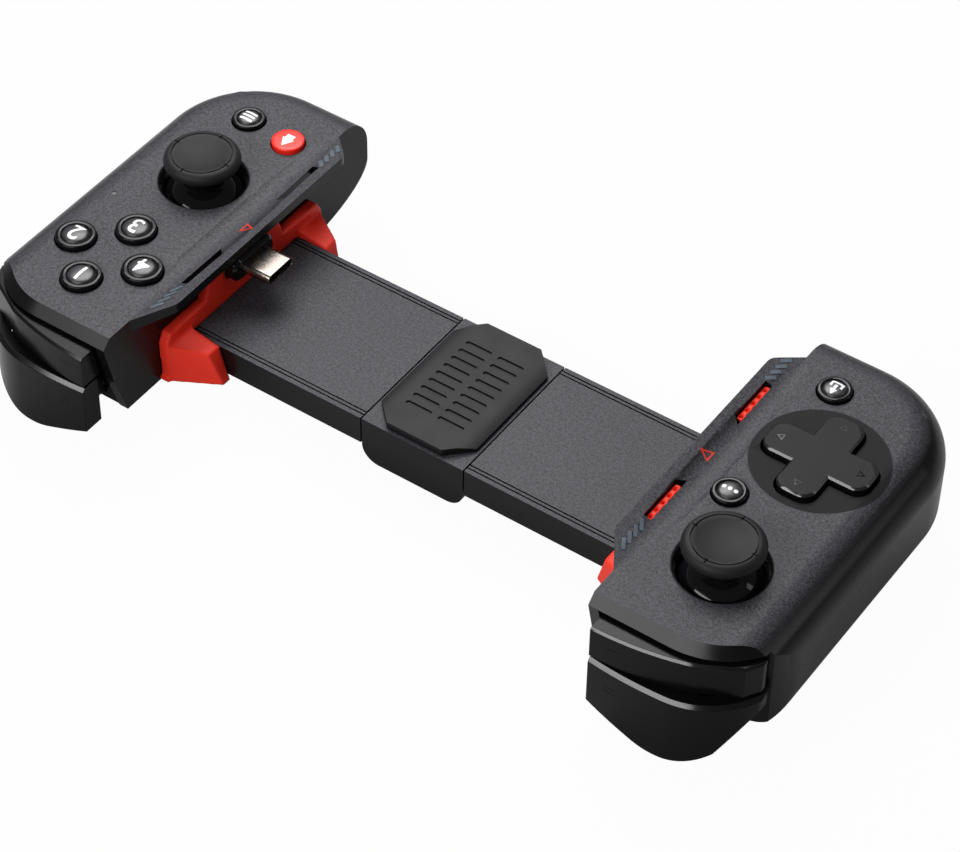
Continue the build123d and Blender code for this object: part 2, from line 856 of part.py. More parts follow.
def grip_screws(side):
    """Four screws that hold the shells and the board together, and four for the bridge."""
    head_z = height(grip_screw_depth)
    with BuildPart() as group:
        discs(grip_screw_places, screw_head_radius, head_z - screw_head_height, head_z)
        discs(grip_screw_places, screw_radius, head_z, height(grip_screw_tip_depth))
        discs(bridge_screw_places(), small_head_radius, height(bridge_bottom_depth),
              height(bridge_bottom_depth) + small_head_height)
        discs(bridge_screw_places(), small_screw_radius, height(bridge_bottom_depth),
              height(hollow_top_depth) - fit)
    return hand(group.part, side)


# Thumbsticks

def stick_base(side, place):
    """Open box that carries the stick's yoke under the board."""
    x, y = place
    pivot_z = height(stick_pivot_depth)
    half = gimbal_size / 2
    cave = gimbal_cavity / 2
    low = height(gimbal_depth)
    high = height(board_under_depth)
    with BuildPart() as base:
        block(x - half, x + half, y - half, y + half, low, high)
        block(x - cave, x + cave, y - cave, y + cave, low + gimbal_floor, high + fit,
              mode=Mode.SUBTRACT)
        with BuildSketch(Plane.YZ.offset(x - yoke_pin_reach - fit)):
            with Locations((y, pivot_z)):
                Circle(yoke_pin_radius + running_fit)
        extrude(amount=2 * (yoke_pin_reach + fit), mode=Mode.SUBTRACT)
    return hand(base.part, side)


def stick_yoke(side, place):
    """Square ring that rocks about X in the base and carries the stem."""
    x, y = place
    pivot_z = height(stick_pivot_depth)
    outer = yoke_outer / 2
    inner = yoke_inner / 2
    half = yoke_thickness / 2
    with BuildPart() as yoke:
        block(x - outer, x + outer, y - outer, y + outer, pivot_z - half, pivot_z + half)
        with BuildSketch(Plane.YZ.offset(x - yoke_pin_reach)):
            with Locations((y, pivot_z)):
                Circle(yoke_pin_radius)
        extrude(amount=2 * yoke_pin_reach)
        block(x - inner, x + inner, y - inner, y + inner, pivot_z - outer, pivot_z + outer,
              mode=Mode.SUBTRACT)
        with BuildSketch(Plane.XZ.offset(-y - outer - fit)):
            with Locations((x, pivot_z)):
                Circle(stem_pin_radius + running_fit)
        extrude(amount=yoke_outer + 2 * fit, mode=Mode.SUBTRACT)
    return hand(yoke.part, side)


def stick_stem(side, place):
    """Stem on a round hub that rocks about Y in the yoke."""
    x, y = place
    pivot_z = height(stick_pivot_depth)
    with BuildPart() as stem:
        with BuildSketch(Plane.XZ.offset(-y - stem_hub_length / 2)):
            with Locations((x, pivot_z)):
                Circle(stem_hub_radius)
        extrude(amount=stem_hub_length)
        with BuildSketch(Plane.XZ.offset(-y - yoke_outer / 2)):
            with Locations((x, pivot_z)):
                Circle(stem_pin_radius)
        extrude(amount=yoke_outer)
        discs([place], stem_radius, pivot_z, face_height + stem_rise)
        discs([place], stem_foot_radius, pivot_z - stem_foot, pivot_z)
    return hand(stem.part, side)


def stick_cap(side, place):
    """Thumb cap with its neck and the ball skirt that closes the hole in the face."""
    pivot_z = height(stick_pivot_depth)
    top = face_height + cap_top_rise
    under = face_height + cap_under_rise
    skirt_low = height(skirt_low_depth)
    skirt_inner = skirt_radius - skirt_wall
    low_x = sqrt(skirt_radius ** 2 - (skirt_low - pivot_z) ** 2)
    low_inner_x = sqrt(skirt_inner ** 2 - (skirt_low - pivot_z) ** 2)
    neck_z = pivot_z + sqrt(skirt_radius ** 2 - neck_radius ** 2)
    dish_ball = (cap_groove_radius ** 2 + cap_hollow ** 2) / (2 * cap_hollow)
    with BuildPart() as cap:
        with BuildSketch(Plane.XZ):
            with BuildLine():
                Line((0, pivot_z + skirt_inner), (0, top))
                Line((0, top), (cap_radius - cap_rim, top))
                TangentArc((cap_radius - cap_rim, top), (cap_radius, top - cap_rim), tangent=(1, 0))
                TangentArc((cap_radius, top - cap_rim), (cap_under_radius, under), tangent=(0, -1))
                Polyline(
                    (cap_under_radius, under),
                    (neck_radius, under - (cap_under_radius - neck_radius) * cap_under_slope_share),
                    (neck_radius, neck_z),
                )
                RadiusArc((neck_radius, neck_z), (low_x, skirt_low), skirt_radius)
                Line((low_x, skirt_low), (low_inner_x, skirt_low))
                RadiusArc((low_inner_x, skirt_low), (0, pivot_z + skirt_inner), -skirt_inner)
            make_face()
        revolve(axis=Axis.Z)
        with Locations((0, 0, top - cap_hollow + dish_ball)):
            Sphere(dish_ball, mode=Mode.SUBTRACT)
        discs([(0, 0)], stem_radius + running_fit, 0,
              face_height + stem_rise + click_travel + moving_gap, mode=Mode.SUBTRACT)
        with BuildSketch(Plane.XY.offset(top - cap_groove_depth)):
            Circle(cap_groove_radius + cap_groove_width)
            Circle(cap_groove_radius, mode=Mode.SUBTRACT)
            with PolarLocations(cap_groove_radius + cap_groove_width, 4):
                Rectangle(cap_notch_length, cap_groove_width)
        extrude(amount=overrun, mode=Mode.SUBTRACT)
    return hand(Pos(*place, 0) * cap.part, side)


# Buttons and the direction pad

def round_button(side, place, hole, rise, dome, stalk):
    """Domed button with a rim under the face."""
    radius = hole - button_gap
    rim_low = height(flange_depth + flange_thickness)
    ball = (radius ** 2 + dome ** 2) / (2 * dome)
    with BuildPart() as button:
        discs([place], radius + flange_width, rim_low, height(flange_depth))
        discs([place], radius, rim_low, face_height + rise + dome)
        with Locations((*place, face_height + rise + dome - ball)):
            Sphere(ball, mode=Mode.INTERSECT)
        if stalk:
            discs([place], stalk_radius, rim_low - stalk_length, rim_low)
    return hand(button.part, side)


def button_membrane():
    """Rubber sheet with a dome under each action button."""
    low = height(board_depth)
    dome_top = height(flange_depth + flange_thickness + action_travel + dome_clearance)
    with BuildPart() as sheet:
        discs(action_places() + [(diamond_x, diamond_y)], membrane_pad, low, low + membrane_thickness)
        with BuildSketch(Plane.XY.offset(low + membrane_thickness)):
            with Locations(*action_places()):
                Circle(dome_radius)
        extrude(amount=dome_top - low - membrane_thickness, taper=dome_slope)
    return sheet.part


def pad_membrane():
    """Rubber sheet with a dome under each end of the direction pad."""
    low = height(board_depth)
    reach = (cross_span - cross_width) / 2
    with BuildPart() as sheet:
        discs([(pad_x, pad_y)], cross_span / 2, low, low + membrane_thickness / 2)
        with BuildSketch(Plane.XY.offset(low + membrane_thickness / 2)):
            with Locations((pad_x, pad_y)):
                with PolarLocations(reach, 4):
                    Circle(dome_radius)
        extrude(amount=membrane_thickness / 2)
    return hand(sheet.part, "left")


def pad_rocker():
    """Ring on a rod that rocks about X under the direction pad."""
    middle = height(rocker_depth)
    half = rocker_thickness / 2
    with BuildPart() as rocker:
        with BuildSketch(Plane.YZ.offset(pad_x - rocker_reach)):
            with Locations((pad_y, middle)):
                Circle(rocker_rod)
        extrude(amount=2 * rocker_reach)
        discs([(pad_x, pad_y)], rocker_radius, middle - half, middle + half)
        discs([(pad_x, pad_y)], rocker_bore, middle - rocker_radius, middle + rocker_radius,
              mode=Mode.SUBTRACT)
        with BuildSketch(Plane.XZ.offset(-pad_y - rocker_radius)):
            with Locations((pad_x, middle)):
                Circle(cross_pin + running_fit)
        extrude(amount=2 * rocker_radius, mode=Mode.SUBTRACT)
    return hand(rocker.part, "left")


def pad_cross():
    """Four-way cross with the hub and pins that rock about Y in the rocker."""
    with BuildPart() as cross:
        with BuildSketch(Plane.XY.offset(height(cross_depth))):
            cross_outline(0)
        extrude(amount=cross_depth + cross_rise)
        chamfer(cross.faces().sort_by(Axis.Z)[-1].edges(), cross_bevel)
        discs([(pad_x, pad_y)], cross_hub, height(rocker_depth + cross_pin + fit),
              height(cross_depth))
        with BuildSketch(Plane.XZ.offset(-pad_y - cross_pin_reach)):
            with Locations((pad_x, height(rocker_depth))):
                Circle(cross_pin)
        extrude(amount=2 * cross_pin_reach)
    return hand(cross.part, "left")


# Bumpers and triggers

def bumper(side):
    """Curved key between the face and the trigger, turning on an upright post."""
    back_y = recess_wall + bumper_back_gap
    tip_back = back_y - (bumper_tip_x - recess_knee_x) * recess_slope
    low = height(bumper_bottom_depth)
    with BuildPart() as key:
        with BuildSketch(Plane.XY.offset(low)):
            with BuildLine():
                ThreePointArc(
                    (bumper_inner, bumper_front),
                    (bumper_bow_x, bumper_bow_y),
                    (bumper_bend_x, bumper_bend_y),
                )
                Polyline(
                    (bumper_bend_x, bumper_bend_y),
                    (bumper_facet_x, bumper_facet_y),
                    (bumper_tip_x, bumper_tip_y),
                    (bumper_tip_x, tip_back),
                    (recess_knee_x, back_y),
                    (bumper_inner, back_y),
                    (bumper_inner, bumper_front),
                )
            make_face()
        extrude(amount=bumper_bottom_depth - bumper_top_depth)
        front_edges = key.faces().sort_by(Axis.Z)[-1].edges().filter_by(
            lambda edge: edge.center().Y - back_y - bumper_back_gap
            > (recess_knee_x - edge.center().X) * recess_slope
        )
        chamfer(front_edges, bumper_edge)
        discs([(bumper_pivot_x, bumper_pivot_y)], bumper_post + running_fit, 0, face_height,
              mode=Mode.SUBTRACT)
    return hand(key.part, side)


def trigger(side):
    """Curved trigger with two arms that turn on the pin."""
    pivot_z = height(trigger_pivot_depth)
    top_z = height(trigger_top_depth)
    with BuildPart() as key:
        with BuildSketch(Plane.XY):
            with BuildLine():
                bow = ThreePointArc(
                    (trigger_inner, trigger_front),
                    (trigger_bow_x, half_depth),
                    (trigger_bend_x, trigger_bend_y),
                )
                TangentArc(
                    (trigger_bend_x, trigger_bend_y),
                    (trigger_tip_x, trigger_tip_y),
                    tangent=bow % 1,
                )
                Polyline(
                    (trigger_tip_x, trigger_tip_y),
                    (trigger_tip_x, trigger_back_tip),
                    (trigger_back_x, trigger_back),
                    (trigger_inner, trigger_back),
                    (trigger_inner, trigger_front),
                )
            make_face()
        extrude(amount=top_z)
        front_edges = key.faces().sort_by(Axis.Z)[-1].edges().filter_by(GeomType.CIRCLE)
        chamfer(front_edges, trigger_edge)
        with BuildSketch(Plane.XZ.offset(-half_depth - overrun)):
            with BuildLine():
                Line(
                    (trigger_inner, height(trigger_inner_low)),
                    (trigger_slope_x, height(trigger_slope_depth)),
                )
                ThreePointArc(
                    (trigger_slope_x, height(trigger_slope_depth)),
                    (trigger_belly_x, height(trigger_low_depth)),
                    (trigger_rise_x, height(trigger_rise_depth)),
                )
                Polyline(
                    (trigger_rise_x, height(trigger_rise_depth)),
                    (trigger_tip_x, height(trigger_tip_depth)),
                    (trigger_tip_x, top_z),
                    (trigger_inner, top_z),
                    (trigger_inner, height(trigger_inner_low)),
                )
            make_face()
        extrude(amount=half_depth + overrun, mode=Mode.INTERSECT)
        for arm_x in (trigger_arm_inner, trigger_arm_outer):
            with BuildSketch(Plane.YZ.offset(arm_x)):
                with Locations((trigger_pivot_y, pivot_z)):
                    Circle(trigger_hub)
                outline(
                    (trigger_pivot_y, pivot_z + trigger_hub),
                    (trigger_back + trigger_edge, pivot_z + trigger_hub),
                    (trigger_back + trigger_edge, pivot_z - trigger_hub),
                    (trigger_pivot_y, pivot_z - trigger_hub),
                )
            extrude(amount=trigger_arm)
        with BuildSketch(Plane.YZ.offset(trigger_inner)):
            with Locations((trigger_pivot_y, pivot_z)):
                Circle(trigger_pin_radius + running_fit)
        extrude(amount=trigger_arm_outer + trigger_arm + fit - trigger_inner, mode=Mode.SUBTRACT)
    return hand(key.part, side)


def trigger_pin(side):
    """Pin through the ears and the trigger's arms."""
    with BuildPart() as pin:
        with BuildSketch(Plane.YZ.offset(trigger_arm_inner)):
            with Locations((trigger_pivot_y, height(trigger_pivot_depth))):
                Circle(trigger_pin_radius)
        extrude(amount=trigger_arm_outer + trigger_arm - trigger_arm_inner)
    return hand(pin.part, side)


def trigger_spring(side):
    """Coil spring round the pin between the ears."""
    pivot_z = height(trigger_pivot_depth)
    coil_length = spring_turns * spring_pitch
    with BuildPart() as spring:
        with BuildLine() as path:
            Helix(
                pitch=spring_pitch,
                height=coil_length,
                radius=spring_radius - spring_wire / 2,
                center=(spring_start, trigger_pivot_y, pivot_z),
                direction=(1, 0, 0),
            )
        with BuildSketch(Plane(origin=path.line @ 0, z_dir=path.line % 0)):
            Circle(spring_wire / 2)
        sweep()
        for end, way in ((0, -1), (1, 1)):
            with BuildSketch(Plane(origin=path.line @ end, z_dir=path.line % end)):
                Circle(spring_wire / 2)
            extrude(amount=way * spring_leg)
    return hand(spring.part, side)


# Telescopic bridge

def bridge_screw_places():
    """Screw places along both long edges of a slider cover."""
    length = inner_wall - cover_start
    return [
        (cover_start + share * length, bridge_y + way * bridge_boss_y)
        for share in bridge_boss_x_shares
        for way in (-1, 1)
    ]


def slider_cover(side):
    """Top and side walls of a bridge arm, held behind the grip's inner wall."""
    half = bridge_half_width
    low = height(bridge_bottom_depth)
    high = height(bridge_top_depth)
    groove_reach = bridge_groove_inset + bridge_groove_pitch
    with BuildPart() as cover:
        block(cover_start, bridge_root, bridge_y - half, bridge_y + half, low, high)
        block(
            inner_wall + shell_wall + fit, bridge_root,
            bridge_y - half - bridge_flange, bridge_y + half + bridge_flange, low, high,
        )
        block(
            cover_start - overrun, bridge_root + overrun,
            bridge_y - hollow_half, bridge_y + hollow_half, low - overrun, height(hollow_top_depth),
            mode=Mode.SUBTRACT,
        )
        discs(bridge_screw_places(), bridge_boss, height(hollow_bottom_depth), high - fit)
        discs(bridge_screw_places(), small_screw_radius + running_fit,
              low, height(hollow_top_depth), mode=Mode.SUBTRACT)
        for way in (-1, 1):
            for inset in (bridge_groove_inset, groove_reach):
                line_y = bridge_y + way * (half - inset)
                block(
                    cover_start - fit, inner_wall, line_y - bridge_groove / 2,
                    line_y + bridge_groove / 2, high - bridge_groove, high + overrun,
                    mode=Mode.SUBTRACT,
                )
    return hand(cover.part, side)


def slider_base(side):
    """Bottom plate of a bridge arm, screwed up between the side walls."""
    half = hollow_half - fit
    low = height(bridge_bottom_depth)
    high = height(hollow_bottom_depth)
    with BuildPart() as base:
        block(cover_start, bridge_root, bridge_y - half, bridge_y + half, low, high)
        discs(bridge_screw_places(), small_screw_radius + running_fit, low, high, mode=Mode.SUBTRACT)
        discs(bridge_screw_places(), small_head_radius + fit, low - fit, low + small_head_height,
              mode=Mode.SUBTRACT)
    return hand(base.part, side)


def rack_rail(side):
    """Toothed rail fixed in one arm that slides through the centre into the other."""
    low = height(rail_top_depth + rail_thickness)
    high = height(rail_top_depth)
    back = pitch_radius + tooth_root
    tooth_count = int(rail_end / tooth_pitch + 1)
    with BuildPart() as rail:
        block(-rail_end, bridge_root, bridge_y + back, bridge_y + rail_edge, low, high)
        block(rail_anchor, bridge_root, bridge_y + back, bridge_y + rail_edge,
              height(hollow_bottom_depth), height(hollow_top_depth))
        with BuildSketch(Plane.XY.offset(low)):
            for tooth in range(tooth_count):
                rack_tooth((1 / 2 - tooth) * tooth_pitch, back)
        extrude(amount=rail_thickness)
        if side == "left":
            middle = (back + rail_edge) / 2
            block(
                -cable_end - overrun, bridge_root, bridge_y + middle - cable_width / 2 - fit,
                bridge_y + middle + cable_width / 2 + fit, high - cable_channel, high + overrun,
                mode=Mode.SUBTRACT,
            )
    return turned(rail.part, side)


def rack_tooth(centre, back):
    """One rack tooth in the open sketch, pointing at the pinion."""
    slope = tan(radians(flank_angle))
    foot_half = tooth_half + tooth_root * slope
    tip_half = tooth_half - tooth_top * slope
    outline(
        (centre - foot_half, bridge_y + back + fit),
        (centre - foot_half, bridge_y + back),
        (centre - tip_half, bridge_y + pitch_radius - tooth_top),
        (centre + tip_half, bridge_y + pitch_radius - tooth_top),
        (centre + foot_half, bridge_y + back),
        (centre + foot_half, bridge_y + back + fit),
    )


def turned(piece, side):
    """A rail as drawn for the right, or turned half round the pinion for the left."""
    if side == "right":
        return piece
    return piece.rotate(Axis((0, bridge_y, 0), (0, 0, 1)), 180)


def ribbon_cable():
    """Flat cable between the two boards, laid in the left-hand rail."""
    middle = (pitch_radius + tooth_root + rail_edge) / 2
    low = height(rail_top_depth + cable_channel)
    with BuildPart() as cable:
        block(
            -cable_end, bridge_root, bridge_y + middle - cable_width / 2,
            bridge_y + middle + cable_width / 2, low, low + cable_thickness,
        )
    return turned(cable.part, "left")


# Centre housing

def centre_screw_places():
    """Four screws through the corners of the centre housing."""
    return [
        (way_x * centre_screw_x, bridge_y + way_y * centre_screw_y)
        for way_x in (-1, 1)
        for way_y in (-1, 1)
    ]


def housing_top():
    """Upper half of the centre housing, bridging both rails."""
    low = height(hollow_bottom_depth)
    high = height(bridge_top_depth)
    with BuildPart() as housing:
        block(-centre_half, centre_half, bridge_y - bridge_half_width,
              bridge_y + bridge_half_width, low, high)
        block(-centre_half - overrun, centre_half + overrun, bridge_y - rail_slot_half,
              bridge_y + rail_slot_half, low - overrun, height(hollow_top_depth),
              mode=Mode.SUBTRACT)
        discs([(0, bridge_y)], axle_radius, low, high, mode=Mode.SUBTRACT)
        discs(centre_screw_places(), screw_radius + running_fit, low,
              height(hollow_top_depth), mode=Mode.SUBTRACT)
    return housing.part


def housing_bottom():
    """Lower half of the centre housing with the well for the return spring."""
    low = height(centre_bottom_depth)
    high = height(hollow_bottom_depth)
    floor = low + bridge_wall
    with BuildPart() as housing:
        block(-centre_half, centre_half, bridge_y - bridge_half_width,
              bridge_y + bridge_half_width, low, high)
        low_edges = housing.faces().sort_by(Axis.Z)[0].edges().filter_by(Axis.Y)
        fillet(low_edges, centre_rounding)
        discs([(0, bridge_y)], coil_reach() + coil_room, floor, high, mode=Mode.SUBTRACT)
        discs([(0, bridge_y)], axle_radius, low, high, mode=Mode.SUBTRACT)
        discs([(0, bridge_y)], axle_head + fit, low, low + axle_head_height, mode=Mode.SUBTRACT)
        discs(centre_screw_places(), screw_hole, low, high, mode=Mode.SUBTRACT)
        discs(centre_screw_places(), screw_head_radius + fit, low,
              (low + high) / 2, mode=Mode.SUBTRACT)
    return housing.part


def centre_screws():
    """Four screws from below into the upper housing."""
    seat = (height(centre_bottom_depth) + height(hollow_bottom_depth)) / 2
    with BuildPart() as group:
        discs(centre_screw_places(), screw_head_radius, seat - screw_head_height, seat)
        discs(centre_screw_places(), screw_radius, seat, height(hollow_top_depth) - fit)
    return group.part


def centre_pad():
    """Eight-sided grip pad with plain ribs in two columns."""
    low = height(bridge_top_depth)
    high = low + centre_pad_thickness
    middle = (centre_pad_far + centre_pad_near) / 2
    corner = centre_pad_corner
    with BuildPart() as pad:
        with BuildSketch(Plane.XY.offset(low)):
            outline(
                (-centre_pad_half + corner, centre_pad_near),
                (centre_pad_half - corner, centre_pad_near),
                (centre_pad_half, centre_pad_near + corner),
                (centre_pad_half, centre_pad_far - corner),
                (centre_pad_half - corner, centre_pad_far),
                (-centre_pad_half + corner, centre_pad_far),
                (-centre_pad_half, centre_pad_far - corner),
                (-centre_pad_half, centre_pad_near + corner),
            )
        extrude(amount=centre_pad_thickness)
        for way in (-1, 1):
            with BuildSketch(Plane.XZ.offset(-centre_pad_far - overrun)):
                outline(
                    (way * (centre_pad_half - centre_pad_slope), high),
                    (way * (centre_pad_half + centre_pad_slope), high - 2 * centre_pad_drop),
                    (way * (centre_pad_half + centre_pad_slope), high + overrun),
                    (way * (centre_pad_half - centre_pad_slope), high + overrun),
                )
            extrude(amount=centre_pad_far - centre_pad_near + 2 * overrun, mode=Mode.SUBTRACT)
        with BuildSketch(Plane.XY.offset(high - rib_depth)):
            with Locations((0, middle)):
                with GridLocations(rib_length + rib_column_gap, rib_pitch, 2, rib_rows):
                    SlotOverall(rib_length, rib_width)
        extrude(amount=overrun, mode=Mode.SUBTRACT)
    return pad.part


def pinion():
    """Gear between the two racks."""
    slope = tan(radians(flank_angle))
    tip = pitch_radius + tooth_top
    root = pitch_radius - tooth_root
    low = height(rail_top_depth + rail_thickness)
    with BuildPart() as gear:
        with BuildSketch(Plane.XY.offset(low)):
            with Locations((0, bridge_y)):
                Circle(root)
            for tooth in range(pinion_teeth):
                turn = 2 * pi * tooth / pinion_teeth
                outline(*[
                    (
                        radius * cos(turn) - offset * sin(turn),
                        bridge_y + radius * sin(turn) + offset * cos(turn),
                    )
                    for radius, offset in (
                        (root - tooth_top, -tooth_half - tooth_root * slope),
                        (root, -tooth_half - tooth_root * slope),
                        (tip, -tooth_half + tooth_top * slope),
                        (tip, tooth_half - tooth_top * slope),
                        (root, tooth_half + tooth_root * slope),
                        (root - tooth_top, tooth_half + tooth_root * slope),
                    )
                ])
        extrude(amount=rail_thickness)
        discs([(0, bridge_y)], axle_radius + running_fit, 0, face_height, mode=Mode.SUBTRACT)
    return gear.part


def pinion_axle():
    """Headed axle pressed up through the housing."""
    low = height(centre_bottom_depth)
    with BuildPart() as axle:
        discs([(0, bridge_y)], axle_radius, low, height(bridge_top_depth))
        discs([(0, bridge_y)], axle_head, low, low + axle_head_height)
    return axle.part


def coil_reach():
    """Outer radius of the spiral spring."""
    return coil_inner + coil_spacing * (coil_half_turns - 1) + coil_strip


def return_spring():
    """Flat spiral spring under the pinion, as half circles on two centres."""
    floor = height(centre_bottom_depth) + bridge_wall
    with BuildPart() as spring:
        with BuildSketch(Plane.XY.offset(floor)):
            for turn in range(coil_half_turns):
                radius = coil_inner + turn * coil_spacing
                way = 1 if turn % 2 == 0 else -1
                centre_x = 0 if turn % 2 == 0 else coil_spacing
                with BuildSketch(mode=Mode.PRIVATE) as half_ring:
                    with Locations((centre_x, bridge_y)):
                        Circle(radius + coil_strip / 2)
                        Circle(radius - coil_strip / 2, mode=Mode.SUBTRACT)
                    with Locations((centre_x, bridge_y - way * (radius + coil_strip))):
                        Rectangle(
                            2 * (radius + coil_strip), 2 * (radius + coil_strip),
                            mode=Mode.SUBTRACT,
                        )
                add(half_ring.sketch)
        extrude(amount=coil_height)
    return spring.part


# Plug

def plug_collar():
    """Black collar round the plug, held behind the inner wall."""
    with BuildPart() as collar:
        with BuildSketch(Plane.YZ.offset(collar_face)):
            plug_hole(0)
        extrude(amount=inner_wall + shell_wall + collar_flange_length - collar_face)
        chamfer(collar.faces().sort_by(Axis.X)[0].edges(), collar_edge)
        with BuildSketch(Plane.YZ.offset(inner_wall + shell_wall + fit)):
            plug_hole(collar_flange)
        extrude(amount=collar_flange_length - fit)
        with BuildSketch(Plane.YZ.offset(collar_face - fit)):
            with Locations((plug_y, height(plug_depth))):
                SlotOverall(plug_width, plug_height)
        extrude(amount=bridge_root - collar_face, mode=Mode.SUBTRACT)
    return collar.part


def plug_shell():
    """Metal shell of the plug."""
    with BuildPart() as tube:
        with BuildSketch(Plane.YZ.offset(plug_tip)):
            with Locations((plug_y, height(plug_depth))):
                SlotOverall(plug_width, plug_height)
                SlotOverall(plug_width - 2 * plug_wall, plug_height - 2 * plug_wall,
                            mode=Mode.SUBTRACT)
        extrude(amount=plug_tail - plug_tip)
    return tube.part


def plug_core():
    """Insulator with the mouth for the tongue of the socket."""
    with BuildPart() as core:
        with BuildSketch(Plane.YZ.offset(plug_tip + plug_recess)):
            with Locations((plug_y, height(plug_depth))):
                SlotOverall(plug_width - 2 * plug_wall, plug_height - 2 * plug_wall)
        extrude(amount=plug_tail - plug_tip - plug_recess)
        with BuildSketch(Plane.YZ.offset(plug_tip)):
            with Locations((plug_y, height(plug_depth))):
                Rectangle(plug_mouth_width, plug_mouth_height)
        extrude(amount=plug_mouth_length, mode=Mode.SUBTRACT)
    return core.part


def led_pipe():
    """Clear light guide from the board to the pinhole in the face."""
    with BuildPart() as pipe:
        discs([led_place], led_hole - fit / 2, height(board_depth), face_height - fit)
        discs([led_place], 2 * led_hole, height(board_depth), height(shell_wall + fit))
    return pipe.part


# Red cradles

def cradle_insert(side):
    """Soft red piece that the phone's end rests against, wrapped round the bridge."""
    half = bridge_half_width + fit
    with BuildPart() as cradle:
        with BuildSketch(Plane.YZ.offset(cradle_face)):
            for way in (-1, 1):
                outline(*[
                    (bridge_y + way * reach, height(depth))
                    for reach, depth in (
                        (0, lip_root_depth + fit),
                        (cradle_top_half, lip_root_depth + fit),
                        (cradle_slope_half, cradle_strip_depth),
                        (cradle_strip_half, cradle_strip_depth),
                        (cradle_end_half, cradle_end_depth),
                        (cheek_root_half, cradle_low_depth),
                        (cheek_root_half + cradle_foot, cradle_low_depth),
                        (cheek_root_half + cradle_foot, cradle_foot_depth),
                        (half, cradle_foot_depth),
                        (half, bridge_top_depth - fit),
                        (0, bridge_top_depth - fit),
                    )
                ])
        extrude(amount=inner_wall - cradle_face)
        for way in (-1, 1):
            with BuildSketch(Plane.XY.offset(height(cradle_foot_depth))):
                outline(
                    (cradle_face, bridge_y + way * half),
                    (cradle_face, bridge_y + way * cheek_root_half),
                    (cheek_tip, bridge_y + way * cheek_tip_half),
                    (cheek_tip, bridge_y + way * half),
                )
            extrude(amount=cradle_foot_depth - cheek_root_depth)
        with BuildSketch(Plane.XZ.offset(-half_depth)):
            outline(
                (cheek_tip - overrun, height(cradle_foot_depth)),
                (cheek_tip, height(cradle_foot_depth)),
                (cheek_top_tip, height(cheek_tip_depth)),
                (cradle_face, height(cheek_root_depth)),
                (cradle_face, face_height + overrun),
                (cheek_tip - overrun, face_height + overrun),
            )
        extrude(amount=2 * half_depth, mode=Mode.SUBTRACT)
        if side == "right":
            with BuildSketch(Plane.YZ.offset(cradle_face - fit)):
                plug_hole(fit)
            extrude(amount=inner_wall - cradle_face + 2 * fit, mode=Mode.SUBTRACT)
        else:
            block(
                comb_face, inner_wall, slot_near_y - slot_length / 2 - comb_end,
                slot_far_y + slot_length / 2 + comb_end,
                height(comb_depth), height(lip_root_depth + fit),
            )
            for slot_y, inward in ((slot_far_y, -1), (slot_near_y, 1)):
                length = slot_length - slot_width - 2 * fit
                middle = slot_y - inward * slot_width / 2
                block(
                    slot_x - slot_width / 2 + fit, slot_x + slot_width / 2 - fit,
                    middle - length / 2, middle + length / 2,
                    height(comb_depth), height(comb_rise_depth),
                )
                for window in range(comb_windows):
                    window_y = middle + ((window + 1 / 2) / comb_windows - 1 / 2) * length
                    block(
                        slot_x - comb_window_width / 2, slot_x + comb_window_width / 2,
                        window_y - comb_window_length / 2, window_y + comb_window_length / 2,
                        height(comb_rise_depth + comb_window_depth), face_height,
                        mode=Mode.SUBTRACT,
                    )
    return hand(cradle.part, side)


# Every piece, written out under its name

for side in ("right", "left"):
    stick_place = right_stick_place if side == "right" else left_stick_place
    save(top_shell(side), f"{side}_top_shell")
    save(bottom_shell(side), f"{side}_bottom_shell")
    save(circuit_board(side), f"{side}_circuit_board")
    save(switches(side), f"{side}_switches")
    save(grip_screws(side), f"{side}_screws")
    save(stick_base(side, stick_place), f"{side}_stick_base")
    save(stick_yoke(side, stick_place), f"{side}_stick_yoke")
    save(stick_stem(side, stick_place), f"{side}_stick_stem")
    save(stick_cap(side, stick_place), f"{side}_stick_cap")
    save(bumper(side), f"{side}_bumper")
    save(trigger(side), f"{side}_trigger")
    save(trigger_pin(side), f"{side}_trigger_pin")
    save(trigger_spring(side), f"{side}_trigger_spring")
    save(slider_cover(side), f"{side}_slider_cover")
    save(slider_base(side), f"{side}_slider_base")
    save(rack_rail(side), f"{side}_rack_rail")
    save(cradle_insert(side), f"{side}_cradle_insert")

for number, place in enumerate(action_places(), start=1):
    save(round_button("right", place, action_hole, action_rise, action_dome, False),
         f"action_button_{number}")
save(round_button("right", menu_place, small_hole, small_rise, small_dome, True), "menu_button")
save(round_button("right", home_place, small_hole, small_rise, small_dome, True), "home_button")
save(round_button("left", more_place, small_hole, small_rise, small_dome, True), "more_button")
save(round_button("left", share_place, small_hole, small_rise, small_dome, True), "share_button")
save(button_membrane(), "action_membrane")
save(pad_membrane(), "pad_membrane")
save(pad_rocker(), "pad_rocker")
save(pad_cross(), "pad_cross")
save(led_pipe(), "led_light_pipe")
save(plug_collar(), "plug_collar")
save(plug_shell(), "plug_shell")
save(plug_core(), "plug_core")
save(ribbon_cable(), "ribbon_cable")
save(housing_top(), "centre_housing_top")
save(housing_bottom(), "centre_housing_bottom")
save(centre_pad(), "centre_pad")
save(centre_screws(), "centre_screws")
save(pinion(), "pinion")
save(pinion_axle(), "pinion_axle")
save(return_spring(), "return_spring")
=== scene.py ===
"""Finishes, trim, light and camera for a telescopic game controller."""

import json
from math import cos, hypot, pi, radians, sin

